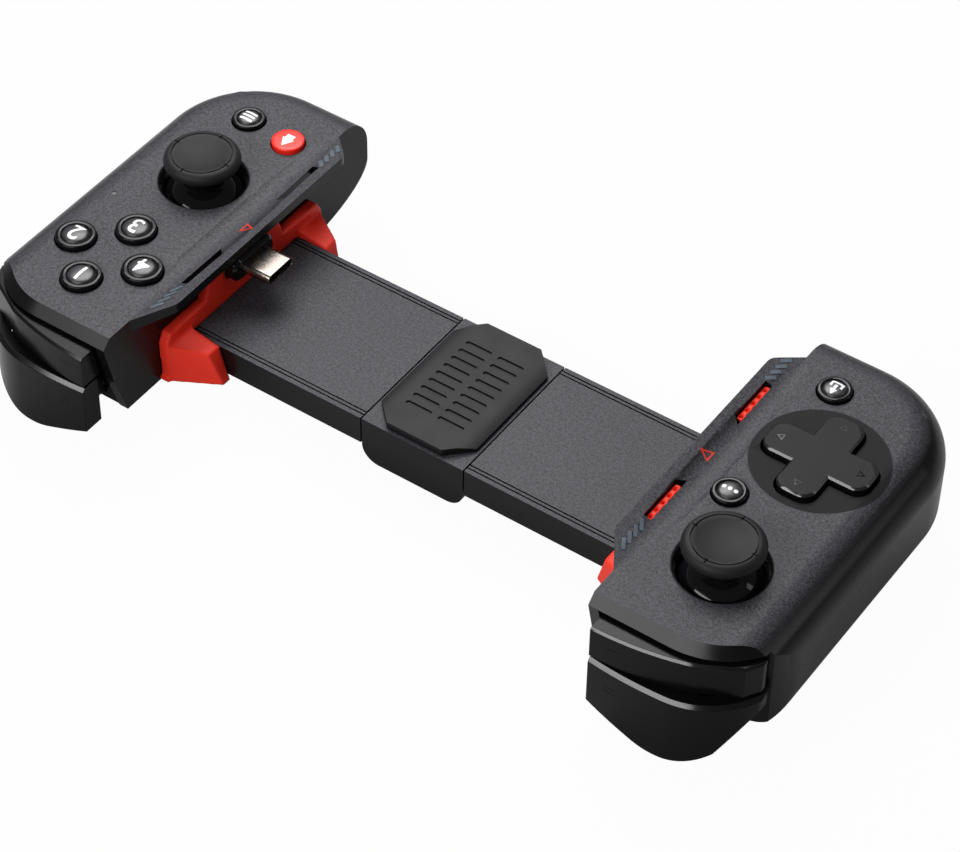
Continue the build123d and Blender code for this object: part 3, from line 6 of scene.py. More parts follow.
import bpy
from bpy.props import FloatProperty, FloatVectorProperty, PointerProperty
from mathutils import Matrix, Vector


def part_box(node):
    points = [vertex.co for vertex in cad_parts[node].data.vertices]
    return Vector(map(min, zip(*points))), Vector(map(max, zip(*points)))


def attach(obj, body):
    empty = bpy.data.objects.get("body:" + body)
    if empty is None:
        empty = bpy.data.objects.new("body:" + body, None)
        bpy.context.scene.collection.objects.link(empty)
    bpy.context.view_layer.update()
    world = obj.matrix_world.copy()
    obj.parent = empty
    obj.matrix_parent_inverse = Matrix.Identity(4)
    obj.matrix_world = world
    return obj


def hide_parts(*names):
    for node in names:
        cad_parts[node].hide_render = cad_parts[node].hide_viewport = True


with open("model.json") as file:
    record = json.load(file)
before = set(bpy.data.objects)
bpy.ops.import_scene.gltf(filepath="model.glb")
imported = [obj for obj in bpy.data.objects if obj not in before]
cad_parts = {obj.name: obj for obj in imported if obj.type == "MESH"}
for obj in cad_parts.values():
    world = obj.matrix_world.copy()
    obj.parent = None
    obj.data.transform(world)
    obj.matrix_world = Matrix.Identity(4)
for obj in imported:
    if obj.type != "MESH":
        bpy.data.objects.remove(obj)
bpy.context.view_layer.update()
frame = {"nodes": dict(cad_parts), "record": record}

bl_info = {
    "name": "Telescopic game controller",
    "version": (1, 0, 0),
    "blender": (4, 5, 0),
    "location": "3D View > Sidebar > Controller",
    "description": "Finishes, trim, light and camera for a telescopic game controller",
    "category": "Object",
}

MM = 0.001
SIDES = ("right", "left")

# Sizes that follow the solids
FACE_ABOVE_BRIDGE = 14.2 * MM
PAD_DISH_RADIUS = 13.7 * MM

# Rounding of edges finer than the moulded ones
HOUSING_EDGE = 0.20 * MM
PLATE_EDGE = 0.18 * MM
THIN_EDGE = 0.12 * MM
FINE_EDGE = 0.06 * MM

# Depths of the finishes' relief
WAVE_DEPTH = 0.004 * MM
SKIN_DEPTH = 0.005 * MM

# Where flat marks start before they are laid on a surface below
ABOVE = 10 * MM


# Settings

class ControllerSettings(bpy.types.PropertyGroup):
    """Sizes and colours of the controller that a user may change."""

    # Tone of the textured faces and the bridge, lifted well above the sides' black: painted light from
    # above on the faces that look up.
    face_grey: FloatVectorProperty(
        name="Face plastic", description="Textured plastic of the faces and the bridge",
        subtype="COLOR", size=3, min=0, max=1, default=(0.0335, 0.0330, 0.0385),
    )
    side_black: FloatVectorProperty(
        name="Side plastic", description="Smooth plastic of the sides and the underside",
        subtype="COLOR", size=3, min=0, max=1, default=(0.0032, 0.0032, 0.0034),
    )
    gloss_black: FloatVectorProperty(
        name="Button plastic", description="Polished plastic of the buttons",
        subtype="COLOR", size=3, min=0, max=1, default=(0.003, 0.003, 0.0035),
    )
    cap_black: FloatVectorProperty(
        name="Cap rubber", description="Rubber of the thumb caps and the centre pad",
        subtype="COLOR", size=3, min=0, max=1, default=(0.0085, 0.0085, 0.0092),
    )
    cradle_red: FloatVectorProperty(
        name="Cradle plastic", description="Soft red plastic of the cradles",
        subtype="COLOR", size=3, min=0, max=1, default=(0.86, 0.036, 0.018),
    )
    mark_white: FloatVectorProperty(
        name="Marks", description="Ink of the numbers and signs on the buttons",
        subtype="COLOR", size=3, min=0, max=1, default=(0.80, 0.80, 0.82),
    )
    plug_metal: FloatVectorProperty(
        name="Plug metal", description="Nickel plating of the plug",
        subtype="COLOR", size=3, min=0, max=1, default=(0.26, 0.225, 0.20),
    )
    edge_radius: FloatProperty(
        name="Edge rounding", description="Rounding of moulded edges",
        unit="LENGTH", min=0, default=0.28 * MM,
    )
    grain_size: FloatProperty(
        name="Grain", description="Size of the texture's grain on the faces",
        unit="LENGTH", min=0, default=0.27 * MM,
    )
    grain_depth: FloatProperty(
        name="Grain depth", description="Depth of the texture's grain on the faces",
        unit="LENGTH", min=0, default=0.020 * MM,
    )
    number_height: FloatProperty(
        name="Number height", description="Height of the numbers on the action buttons",
        unit="LENGTH", min=0, default=5.8 * MM,
    )


def settings():
    """The controller's settings in this scene."""
    return bpy.context.scene.controller


# Shader sums

class Field:
    """A node's output that can stand in a sum."""

    def __init__(self, tree, socket):
        self.tree = tree
        self.socket = socket

    def sum(self, operation, first, second, third=None, clamp=False):
        """One Math node."""
        node = self.tree.nodes.new("ShaderNodeMath")
        node.operation = operation
        node.use_clamp = clamp
        for slot, value in enumerate((first, second, third)):
            if isinstance(value, Field):
                self.tree.links.new(value.socket, node.inputs[slot])
            elif value is not None:
                node.inputs[slot].default_value = value
        return Field(self.tree, node.outputs[0])

    def __add__(self, other):
        return self.sum("ADD", self, other)

    def __radd__(self, other):
        return self.sum("ADD", other, self)

    def __sub__(self, other):
        return self.sum("SUBTRACT", self, other)

    def __rsub__(self, other):
        return self.sum("SUBTRACT", other, self)

    def __mul__(self, other):
        return self.sum("MULTIPLY", self, other)

    def __rmul__(self, other):
        return self.sum("MULTIPLY", other, self)

    def __pow__(self, other):
        return self.sum("POWER", self, other)

    def held(self):
        """Kept between nought and one."""
        return self.sum("ADD", self, 0.0, clamp=True)


class Nodes:
    """A node tree and the ways to add to it."""

    def __init__(self, tree, output):
        self.tree = tree
        self.tree.nodes.clear()
        self.output = self.tree.nodes.new(output)

    def node(self, kind, options=None, inputs=None):
        """A node of that type with its options set, then its sockets."""
        made = self.tree.nodes.new(kind)
        for key, value in (options or {}).items():
            setattr(made, key, value)
        for key, value in (inputs or {}).items():
            self.feed(made.inputs[key], value)
        return made

    def feed(self, socket, value):
        """Links a field to a socket, or sets the socket's value."""
        if isinstance(value, Field):
            self.tree.links.new(value.socket, socket)
        elif isinstance(value, (tuple, list)) and len(value) == 3 and socket.type == "RGBA":
            socket.default_value = (*value, 1)
        else:
            socket.default_value = value

    def field(self, node, output=0):
        """A node's output as a field."""
        return Field(self.tree, node.outputs[output])

    def place(self):
        """Position on the object, in metres."""
        return self.field(self.node("ShaderNodeTexCoord"), "Object")

    def noise(self, size, detail=2.0, roughness=0.5, place=None):
        """Cloudy noise whose lumps have about that size."""
        node = self.node(
            "ShaderNodeTexNoise", None,
            {"Vector": place or self.place(), "Scale": 1 / size, "Detail": detail,
             "Roughness": roughness},
        )
        return self.field(node, "Fac")

    def axes(self):
        """The three coordinates on the object."""
        node = self.node("ShaderNodeSeparateXYZ", None, {"Vector": self.place()})
        return [self.field(node, index) for index in range(3)]

    def upward(self):
        """How far the surface faces up, one where it lies flat."""
        geometry = self.node("ShaderNodeNewGeometry")
        node = self.node("ShaderNodeSeparateXYZ", None, {"Vector": self.field(geometry, "Normal")})
        return self.field(node, 2)

    def mix(self, share, first, second):
        """Colour between two colours."""
        node = self.node("ShaderNodeMix", {"data_type": "RGBA"})
        self.feed(node.inputs[0], share)
        self.feed(node.inputs[6], first)
        self.feed(node.inputs[7], second)
        return self.field(node, 2)

    def bump(self, height, depth):
        """Normal of a surface raised by height times depth."""
        node = self.node(
            "ShaderNodeBump", None, {"Height": height, "Distance": depth, "Strength": 1.0},
        )
        return self.field(node, "Normal")

    def seen(self, mirrored):
        """One to the camera and through clear pieces, that share of it in mirrors."""
        paths = self.node("ShaderNodeLightPath")
        camera = self.field(paths, "Is Camera Ray")
        glossy = self.field(paths, "Is Glossy Ray")
        clear = self.field(paths, "Is Transmission Ray")
        return (camera + glossy * mirrored + clear).held()


class Finish(Nodes):
    """One material and the nodes behind it."""

    def __init__(self, name):
        self.material = bpy.data.materials.new(name)
        self.material.use_nodes = True
        super().__init__(self.material.node_tree, "ShaderNodeOutputMaterial")

    def surface(self, **values):
        """The main shader with its sockets set, underscores for spaces."""
        shader = self.node("ShaderNodeBsdfPrincipled")
        for key, value in values.items():
            self.feed(shader.inputs[key.replace("_", " ")], value)
        self.tree.links.new(shader.outputs[0], self.output.inputs["Surface"])
        return self.material


# Finishes

def shell_plastic(clouds=22 * MM, coarser=2.6, level=0.16):
    """Moulded plastic, grained where it faces up and smooth on its sides and in the pad's dish; coloured
    lighter where it faces up, as painted light from above.
    """
    own = settings()
    finish = Finish("shell_plastic")
    upward = finish.upward()
    pad = middle_of("pad_cross")
    x, y, _ = finish.axes()
    away = ((x - pad.x) ** 2.0 + (y - pad.y) ** 2.0) ** 0.5
    outside = ((away - PAD_DISH_RADIUS) * 4000.0).held()
    # Where the shell looks up, outside the pad's dish: grained, and coloured lighter as painted light from
    # above.
    face = ((upward - 0.80) * 6.0).held() * outside
    grain = finish.noise(own.grain_size, 3.0, 0.62)
    coarse = finish.noise(coarser * own.grain_size, 2.0)
    broad = finish.noise(clouds, 3.0)
    speckle = ((grain - 0.5) * 4.6 + (coarse - 0.5) * 1.4 + 0.5).held()
    dark = [0.50 * c for c in own.face_grey]
    light = [1.85 * c for c in own.face_grey]
    dish = [0.14 * c for c in own.face_grey]
    smooth_part = finish.mix(outside, dish, own.side_black[:])
    # Painted light: the up-facing grained faces take the lighter grey, while the sides and the dish keep
    # the dark plastic's colour.
    colour = finish.mix(face, smooth_part, finish.mix(speckle, dark, light))
    rough = 0.62 - outside * 0.35 + face * 0.20 + (broad - 0.5) * 0.10 + (grain - 0.5) * face * 0.12
    height = (grain * 0.7 + coarse * 0.3) * (face * 0.96 + 0.04)
    return finish.surface(
        Base_Color=colour, Roughness=rough, Normal=finish.bump(height, own.grain_depth),
        Specular_IOR_Level=level,
    )


def satin_plastic(name, colour, rough=0.30, level=0.18, polish=0.0, waves=9 * MM, skin=0.25 * MM):
    """Smooth moulded plastic with a faint waviness, and edges worn to a polish."""
    finish = Finish(name)
    upward = finish.upward()
    edge = ((upward - 0.30) * 5.0).held() * ((0.985 - upward) * 25.0).held()
    broad = finish.noise(waves, 3.0)
    fine = finish.noise(skin, 2.0)
    tint = finish.mix(broad, [0.82 * c for c in colour], [1.18 * c for c in colour])
    return finish.surface(
        Base_Color=tint, Roughness=rough + (broad - 0.5) * 0.12 + (fine - 0.5) * 0.06,
        Normal=finish.bump(fine, 0.01 * skin), Specular_IOR_Level=level,
        Coat_Weight=edge * polish, Coat_Roughness=0.16,
    )


def polished_plastic(name, colour, rough=0.06, level=0.20, smudges=2.4 * MM, waves=1.8 * MM):
    """Polished plastic with the faint smudges of use."""
    finish = Finish(name)
    smudge = finish.noise(smudges, 4.0, 0.6)
    tint = finish.mix(smudge, colour, [1.5 * c for c in colour])
    return finish.surface(
        Base_Color=tint, Roughness=rough + ((smudge - 0.45) * 1.6).held() * 0.10,
        Normal=finish.bump(finish.noise(waves, 1.0), WAVE_DEPTH), Specular_IOR_Level=level,
    )


def soft_rubber(name, colour, rough=0.62, grain=0.16 * MM, depth=0.006 * MM, clouds=5 * MM):
    """Matte rubber with a fine skin and a little dust in its tone."""
    finish = Finish(name)
    skin = finish.noise(grain, 3.0, 0.65)
    broad = finish.noise(clouds, 3.0)
    tint = finish.mix(broad, [0.86 * c for c in colour], [1.16 * c for c in colour])
    return finish.surface(
        Base_Color=finish.mix((skin - 0.35) * 0.5, tint, [1.6 * c for c in colour]),
        Roughness=rough + (broad - 0.5) * 0.10 + (skin - 0.5) * 0.10,
        Normal=finish.bump(skin, depth), Specular_IOR_Level=0.18,
    )


def cradle_plastic(grain=0.22 * MM, clouds=7 * MM):
    """Soft red plastic, slightly uneven in tone."""
    own = settings()
    finish = Finish("cradle_plastic")
    skin = finish.noise(grain, 3.0, 0.6)
    broad = finish.noise(clouds, 2.0)
    deep = [0.86 * c for c in own.cradle_red]
    tint = finish.mix(broad, deep, own.cradle_red[:])
    return finish.surface(
        Base_Color=tint, Roughness=0.40 + (skin - 0.5) * 0.14,
        Normal=finish.bump(skin, SKIN_DEPTH), Specular_IOR_Level=0.16,
    )


def plated_metal(name, colour, rough=0.16, along=0, line=0.05 * MM, clouds=1.2 * MM):
    """Plated metal with fine drawing lines along one axis."""
    finish = Finish(name)
    stretch = [1.0, 1.0, 1.0]
    stretch[along] = 0.04
    mapping = finish.node(
        "ShaderNodeMapping", {"vector_type": "POINT"}, {"Vector": finish.place(), "Scale": stretch},
    )
    lines = finish.noise(line, 2.0, 0.5, finish.field(mapping))
    haze = finish.noise(clouds, 3.0)
    tint = finish.mix(haze, [0.88 * c for c in colour], colour)
    return finish.surface(
        Base_Color=tint, Metallic=1.0, Roughness=rough + (lines - 0.5) * 0.12 + (haze - 0.5) * 0.06,
        Normal=finish.bump(lines, 0.024 * line),
    )


def printed_ink(patches=0.12 * MM):
    """White print, slightly uneven."""
    own = settings()
    finish = Finish("printed_ink")
    cover = finish.noise(patches, 2.0)
    tint = finish.mix(cover, [0.9 * c for c in own.mark_white], own.mark_white[:])
    return finish.surface(Base_Color=tint, Roughness=0.32 + (cover - 0.5) * 0.1)


def red_paint(patches=0.10 * MM):
    """Red paint, slightly uneven."""
    finish = Finish("red_paint")
    cover = finish.noise(patches, 2.0)
    tint = finish.mix(cover, (0.34, 0.012, 0.008), (0.55, 0.024, 0.012))
    return finish.surface(Base_Color=tint, Roughness=0.45 + (cover - 0.5) * 0.1)


def board_laminate(threads=0.5 * MM, areas=6 * MM, mask_depth=0.02 * MM):
    """Green circuit board with tracks under its mask."""
    finish = Finish("board_laminate")
    weave = finish.noise(threads, 2.0)
    wander = finish.noise(areas, 1.0) * 4.0
    tracks = finish.field(finish.node(
        "ShaderNodeTexWave", {"wave_type": "BANDS", "bands_direction": "DIAGONAL"},
        {"Vector": finish.place(), "Scale": 420.0, "Distortion": 6.0, "Detail": 1.0},
    ), "Fac")
    line = ((tracks - 0.62) * 12.0).held() * ((wander - 1.8) * 3.0).held()
    tint = finish.mix(line, finish.mix(weave, (0.008, 0.07, 0.03), (0.012, 0.10, 0.04)),
                      (0.03, 0.19, 0.07))
    return finish.surface(
        Base_Color=tint, Roughness=0.34 + (weave - 0.5) * 0.1,
        Normal=finish.bump(line, mask_depth),
    )


def bare_plastic(name, colour, rough=0.42, clouds=3 * MM, grain=0.2 * MM):
    """Unpainted engineering plastic."""
    finish = Finish(name)
    cloud = finish.noise(clouds, 3.0)
    skin = finish.noise(grain, 2.0)
    tint = finish.mix(cloud, [0.9 * c for c in colour], colour)
    return finish.surface(
        Base_Color=tint, Roughness=rough + (skin - 0.5) * 0.12,
        Normal=finish.bump(skin, WAVE_DEPTH),
    )


def cable_film(patches=2 * MM, track_depth=0.01 * MM):
    """Amber film with copper tracks along it."""
    finish = Finish("cable_film")
    tracks = finish.field(finish.node(
        "ShaderNodeTexWave", {"wave_type": "BANDS", "bands_direction": "Y"},
        {"Vector": finish.place(), "Scale": 260.0},
    ), "Fac")
    line = ((tracks - 0.5) * 10.0).held()
    film = finish.noise(patches, 2.0)
    tint = finish.mix(line, finish.mix(film, (0.30, 0.12, 0.015), (0.38, 0.16, 0.02)),
                      (0.55, 0.26, 0.10))
    return finish.surface(
        Base_Color=tint, Roughness=0.28 + film * 0.1, Normal=finish.bump(line, track_depth),
    )


FINISHES = {}


def finish_named(name):
    """The material of that name, made once."""
    if name not in FINISHES:
        own = settings()
        makers = {
            "shell": shell_plastic,
            "satin": lambda: satin_plastic("satin_plastic", own.side_black[:], 0.27),
            "key": lambda: satin_plastic("key_plastic", own.side_black[:], 0.22, 0.11, 0.45),
            "pad": lambda: satin_plastic("pad_plastic", [1.7 * c for c in own.side_black], 0.42, 0.12, 0.8),
            "gloss": lambda: polished_plastic("gloss_plastic", own.gloss_black[:]),
            # Lens plastic lighter grey than the button plastic, partly as painted reflection standing in
            # for the softbox's milky reflection on the lens.
            "lens": lambda: polished_plastic("lens_plastic", (0.016, 0.016, 0.018), 0.34, 0.55),
            "red_gloss": lambda: polished_plastic("red_plastic", (0.70, 0.018, 0.010), 0.24, 0.22),
            "cap": lambda: soft_rubber("cap_rubber", own.cap_black[:], 0.55),
            "mat": lambda: soft_rubber("mat_rubber", [0.5 * c for c in own.cap_black], 0.5),
            "cradle": cradle_plastic,
            "plug": lambda: plated_metal("plug_nickel", own.plug_metal[:], 0.26),
            "steel": lambda: plated_metal("pin_steel", (0.52, 0.52, 0.54), 0.24),
            "screw": lambda: plated_metal("screw_steel", (0.20, 0.20, 0.21), 0.30, 2),
            "gold": lambda: plated_metal("contact_gold", (0.80, 0.56, 0.20), 0.18),
            "ink": printed_ink,
            "paint": red_paint,
            "board": board_laminate,
            "white": lambda: bare_plastic("gear_plastic", (0.40, 0.40, 0.39)),
            "membrane": lambda: soft_rubber("membrane_rubber", (0.42, 0.42, 0.40), 0.55),
            "rib": lambda: satin_plastic("rib_plastic", (0.080, 0.098, 0.120), 0.36),
            "film": cable_film,
        }
        FINISHES[name] = makers[name]()
    return FINISHES[name]


# Modelling steps

def only(piece):
    """Makes a piece the one that is selected and active."""
    if bpy.context.object and bpy.context.object.mode != "OBJECT":
        bpy.ops.object.mode_set(mode="OBJECT")
    bpy.ops.object.select_all(action="DESELECT")
    piece.select_set(True)
    bpy.context.view_layer.objects.active = piece


def fresh():
    """Deselects everything before a primitive is added."""
    if bpy.context.object and bpy.context.object.mode != "OBJECT":
        bpy.ops.object.mode_set(mode="OBJECT")
    bpy.ops.object.select_all(action="DESELECT")


def edit(piece, everything=True):
    """Opens a piece in edit mode."""
    only(piece)
    bpy.ops.object.mode_set(mode="EDIT")
    bpy.ops.mesh.select_all(action="SELECT" if everything else "DESELECT")


def close():
    """Leaves edit mode."""
    bpy.ops.object.mode_set(mode="OBJECT")


def settle(piece):
    """Puts a piece's place into its mesh."""
    only(piece)
    bpy.ops.object.transform_apply(location=True, rotation=True, scale=True)


def modify(piece, kind, **options):
    """Adds a modifier, sets it and applies it."""
    only(piece)
    bpy.ops.object.modifier_add(type=kind)
    modifier = piece.modifiers[-1]
    for key, value in options.items():
        setattr(modifier, key, value)
    bpy.ops.object.modifier_apply(modifier=modifier.name)


def smooth(piece, angle=30):
    """Smooth shading with edges kept sharp past the angle in degrees."""
    only(piece)
    bpy.ops.object.shade_smooth_by_angle(angle=radians(angle))


def soften(piece, width, segments=2, angle=28):
    """Rounds a piece's edges."""
    modify(piece, "BEVEL", width=width, segments=segments, limit_method="ANGLE",
           angle_limit=radians(angle), use_clamp_overlap=True, miter_outer="MITER_ARC",
           harden_normals=False)
    smooth(piece, 38)
    modify(piece, "WEIGHTED_NORMAL", mode="FACE_AREA", weight=80, keep_sharp=True)


def merged(node, name, flatness=0.5):
    """A piece with a CAD node's shape, its triangles joined into faces."""
    source = frame["nodes"][node]
    piece = bpy.data.objects.new(name, source.data.copy())
    bpy.context.scene.collection.objects.link(piece)
    piece.data.materials.clear()
    piece.data.name = name
    edit(piece)
    bpy.ops.mesh.remove_doubles(threshold=0.002 * MM)
    if flatness:
        bpy.ops.mesh.dissolve_limited(angle_limit=radians(flatness))
    close()
    if piece.data.has_custom_normals:
        bpy.ops.mesh.customdata_custom_splitnormals_clear()
    return piece


def dress(piece, body, finish, slot=None, replaced=()):
    """Gives a piece its finish, its body and what it stands for."""
    piece.data.materials.clear()
    piece.data.materials.append(finish_named(finish))
    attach(piece, body)
    if replaced:
        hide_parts(*replaced)
    return piece


def body_of(node):
    """The body that a CAD node belongs to."""
    for body, nodes in frame["record"]["behaviour"]["bodies"].items():
        if node in nodes:
            return body
    raise ValueError(node)


def slot_of(node):
    """The record's material slot of a CAD node."""
    for entry in frame["record"]["subparts"]:
        if entry["node"] == node:
            return entry["material_slot"]
    raise ValueError(node)


def finished_node(node, finish, width=None, segments=2, angle=28, flatness=0.5):
    """Replaces a CAD node by the same shape with rounded edges."""
    piece = merged(node, f"{node}_finished", flatness)
    soften(piece, settings().edge_radius if width is None else width, segments, angle)
    return dress(piece, body_of(node), finish, slot_of(node), [node])


def carry(node, finish):
    """Gives a CAD node that stays its finish."""
    piece = frame["nodes"][node]
    piece.data.materials.clear()
    piece.data.materials.append(finish_named(finish))
    return piece


def paint_faces(piece, finish, chosen):
    """Gives the chosen faces a second finish."""
    piece.data.materials.append(finish_named(finish))
    index = len(piece.data.materials) - 1
    for face in piece.data.polygons:
        if chosen(face.center, face.normal):
            face.material_index = index


def bar(name, centre, size, rounding=0.0, turn=0.0):
    """A flat bar lying in XY, its corners rounded, turned about its centre."""
    fresh()
    bpy.ops.mesh.primitive_plane_add(size=1, location=(0, 0, 0))
    piece = bpy.context.object
    piece.name = name
    piece.scale = (size[0], size[1], 1)
    settle(piece)
    if rounding:
        edit(piece)
        bpy.ops.mesh.bevel(offset=rounding, segments=5, affect="VERTICES")
        close()
    piece.rotation_euler = (0, 0, turn)
    piece.location = centre
    settle(piece)
    return piece


def disc(name, centre, radius, corners=32, turn=0.0):
    """A flat round or many-sided face lying in XY."""
    fresh()
    bpy.ops.mesh.primitive_circle_add(
        vertices=corners, radius=radius, fill_type="NGON", location=centre, rotation=(0, 0, turn),
    )
    piece = bpy.context.object
    piece.name = name
    settle(piece)
    return piece


def joined(name, pieces):
    """Several meshes made one."""
    fresh()
    for piece in pieces:
        piece.select_set(True)
    bpy.context.view_layer.objects.active = pieces[0]
    if len(pieces) > 1:
        bpy.ops.object.join()
    pieces[0].name = name
    pieces[0].data.name = name
    return pieces[0]


def lay_on(piece, target, axis, rise, thickness, cuts=3):
    """Lays a flat shape on a surface along an axis and gives it thickness."""
    edit(piece)
    bpy.ops.mesh.quads_convert_to_tris()
    bpy.ops.mesh.subdivide(number_cuts=cuts)
    close()
    modify(
        piece, "SHRINKWRAP", target=target, wrap_method="PROJECT", offset=rise,
        use_project_x=axis == "x", use_project_y=axis == "y", use_project_z=axis == "z",
        use_negative_direction=True, use_positive_direction=True,
    )
    modify(piece, "SOLIDIFY", thickness=thickness, offset=-1)
    smooth(piece, 40)
    return piece


def text(name, words, height, centre):
    """Flat words lying in XY, centred on a point."""
    fresh()
    bpy.ops.object.text_add(location=(0, 0, 0))
    piece = bpy.context.object
    piece.name = name
    piece.data.body = words
    piece.data.size = height
    piece.data.align_x = "CENTER"
    piece.data.align_y = "CENTER"
    piece.data.offset = 0.008 * height
    only(piece)
    bpy.ops.object.convert(target="MESH")
    piece = bpy.context.object
    corners = [v.co for v in piece.data.vertices]
    middle = [(min(c[i] for c in corners) + max(c[i] for c in corners)) / 2 for i in (0, 1)]
    piece.location = (centre[0] - middle[0], centre[1] - middle[1], centre[2])
    settle(piece)
    edit(piece)
    bpy.ops.mesh.remove_doubles(threshold=0.001 * MM)
    close()
    return piece


def middle_of(node):
    """Middle of a CAD node's box."""
    low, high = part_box(node)
    return (low + high) / 2


def face_height(side):
    """Height of a grip's face above the floor."""
    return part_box(f"{side}_slider_cover")[1].z + FACE_ABOVE_BRIDGE


def hollow_triangle(name, place, outer, inner, turn):
    """A flat triangle with a triangular hole."""
    piece = joined(name, [
        disc("outer", place, outer, 3, turn),
        disc("inner", place, inner, 3, turn),
    ])
    edit(piece)
    bpy.ops.mesh.delete(type="ONLY_FACE")
    bpy.ops.mesh.select_all(action="SELECT")
    bpy.ops.mesh.bridge_edge_loops()
    close()
    return piece


def ring(name, centre, profile, steps=96):
    """A turned ring: the closed profile of radius and height pairs goes round an upright axis."""
    fresh()
    bpy.ops.mesh.primitive_circle_add(vertices=len(profile), radius=MM, location=(0, 0, 0))
    piece = bpy.context.object
    piece.name = name
    for vertex, (radius, height) in zip(piece.data.vertices, profile):
        vertex.co = (radius, 0, height)
    edit(piece)
    bpy.ops.mesh.spin(steps=steps, angle=2 * pi, center=(0, 0, 0), axis=(0, 0, 1))
    bpy.ops.mesh.select_all(action="SELECT")
    bpy.ops.mesh.remove_doubles(threshold=0.001 * MM)
    bpy.ops.mesh.normals_make_consistent(inside=False)
    close()
    piece.location = centre
    settle(piece)
    smooth(piece, 40)
    return piece


# Pieces

class ControllerStep(bpy.types.Operator):
    """What all steps of the controller share."""

    bl_options = {"REGISTER", "UNDO"}


class CONTROLLER_OT_shells(ControllerStep):
    """Grip shells with rounded edges and a seam between them"""

    bl_idname = "controller.shells"
    bl_label = "Grip shells"

    def execute(self, context):
        for side in SIDES:
            finished_node(f"{side}_top_shell", "shell", flatness=0)
            finished_node(f"{side}_bottom_shell", "shell", flatness=0)
        return {"FINISHED"}


class CONTROLLER_OT_bridge(ControllerStep):
    """Telescopic bridge, centre housing and its pad"""

    bl_idname = "controller.bridge"
    bl_label = "Bridge"

    def execute(self, context):
        for side in SIDES:
            finished_node(f"{side}_slider_cover", "shell", PLATE_EDGE)
            finished_node(f"{side}_slider_base", "shell", THIN_EDGE)
            carry(f"{side}_rack_rail", "white")
        finished_node("centre_housing_top", "shell", PLATE_EDGE)
        finished_node("centre_housing_bottom", "shell", HOUSING_EDGE)
        finished_node("centre_pad", "mat", THIN_EDGE)
        carry("ribbon_cable", "film")
        carry("pinion", "white")
        carry("pinion_axle", "steel")
        carry("return_spring", "steel")
        return {"FINISHED"}


class CONTROLLER_OT_cradles(ControllerStep):
    """Red cradles round the bridge's roots"""

    bl_idname = "controller.cradles"
    bl_label = "Cradles"

    cell = 0.30 * MM

    def execute(self, context):
        for side in SIDES:
            node = f"{side}_cradle_insert"
            piece = merged(node, f"{node}_finished")
            modify(piece, "REMESH", mode="VOXEL", voxel_size=self.cell, use_smooth_shade=True)
            modify(piece, "SMOOTH", factor=0.5, iterations=7)
            modify(piece, "DECIMATE", decimate_type="COLLAPSE", ratio=0.45)
            smooth(piece, 60)
            dress(piece, body_of(node), "cradle", slot_of(node), [node])
        return {"FINISHED"}


class CONTROLLER_OT_sticks(ControllerStep):
    """Thumbsticks with a polished skirt and a liner round their holes"""

    bl_idname = "controller.sticks"
    bl_label = "Thumbsticks"

    skirt_height = 5.2 * MM
    liner_profile = (
        (8.88 * MM, -1.30 * MM), (8.40 * MM, -2.55 * MM), (8.62 * MM, -2.80 * MM),
        (9.20 * MM, -2.00 * MM), (9.80 * MM, -1.98 * MM), (9.80 * MM, -1.82 * MM),
        (8.95 * MM, -1.82 * MM), (8.92 * MM, -1.30 * MM),
    )

    def execute(self, context):
        for side in SIDES:
            cap = finished_node(f"{side}_stick_cap", "cap", FINE_EDGE, flatness=0)
            low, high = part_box(f"{side}_stick_cap")
            neck = low.z + self.skirt_height
            paint_faces(cap, "gloss", lambda centre, normal: centre.z < neck)
            middle = (low + high) / 2
            place = (middle.x, middle.y, face_height(side))
            liner = ring(f"{side}_stick_liner", place, self.liner_profile)
            dress(liner, f"grip_{side}", "gloss", slot_of(f"{side}_bumper"))
            carry(f"{side}_stick_stem", "white")
            carry(f"{side}_stick_yoke", "white")
            carry(f"{side}_stick_base", "steel")
        return {"FINISHED"}


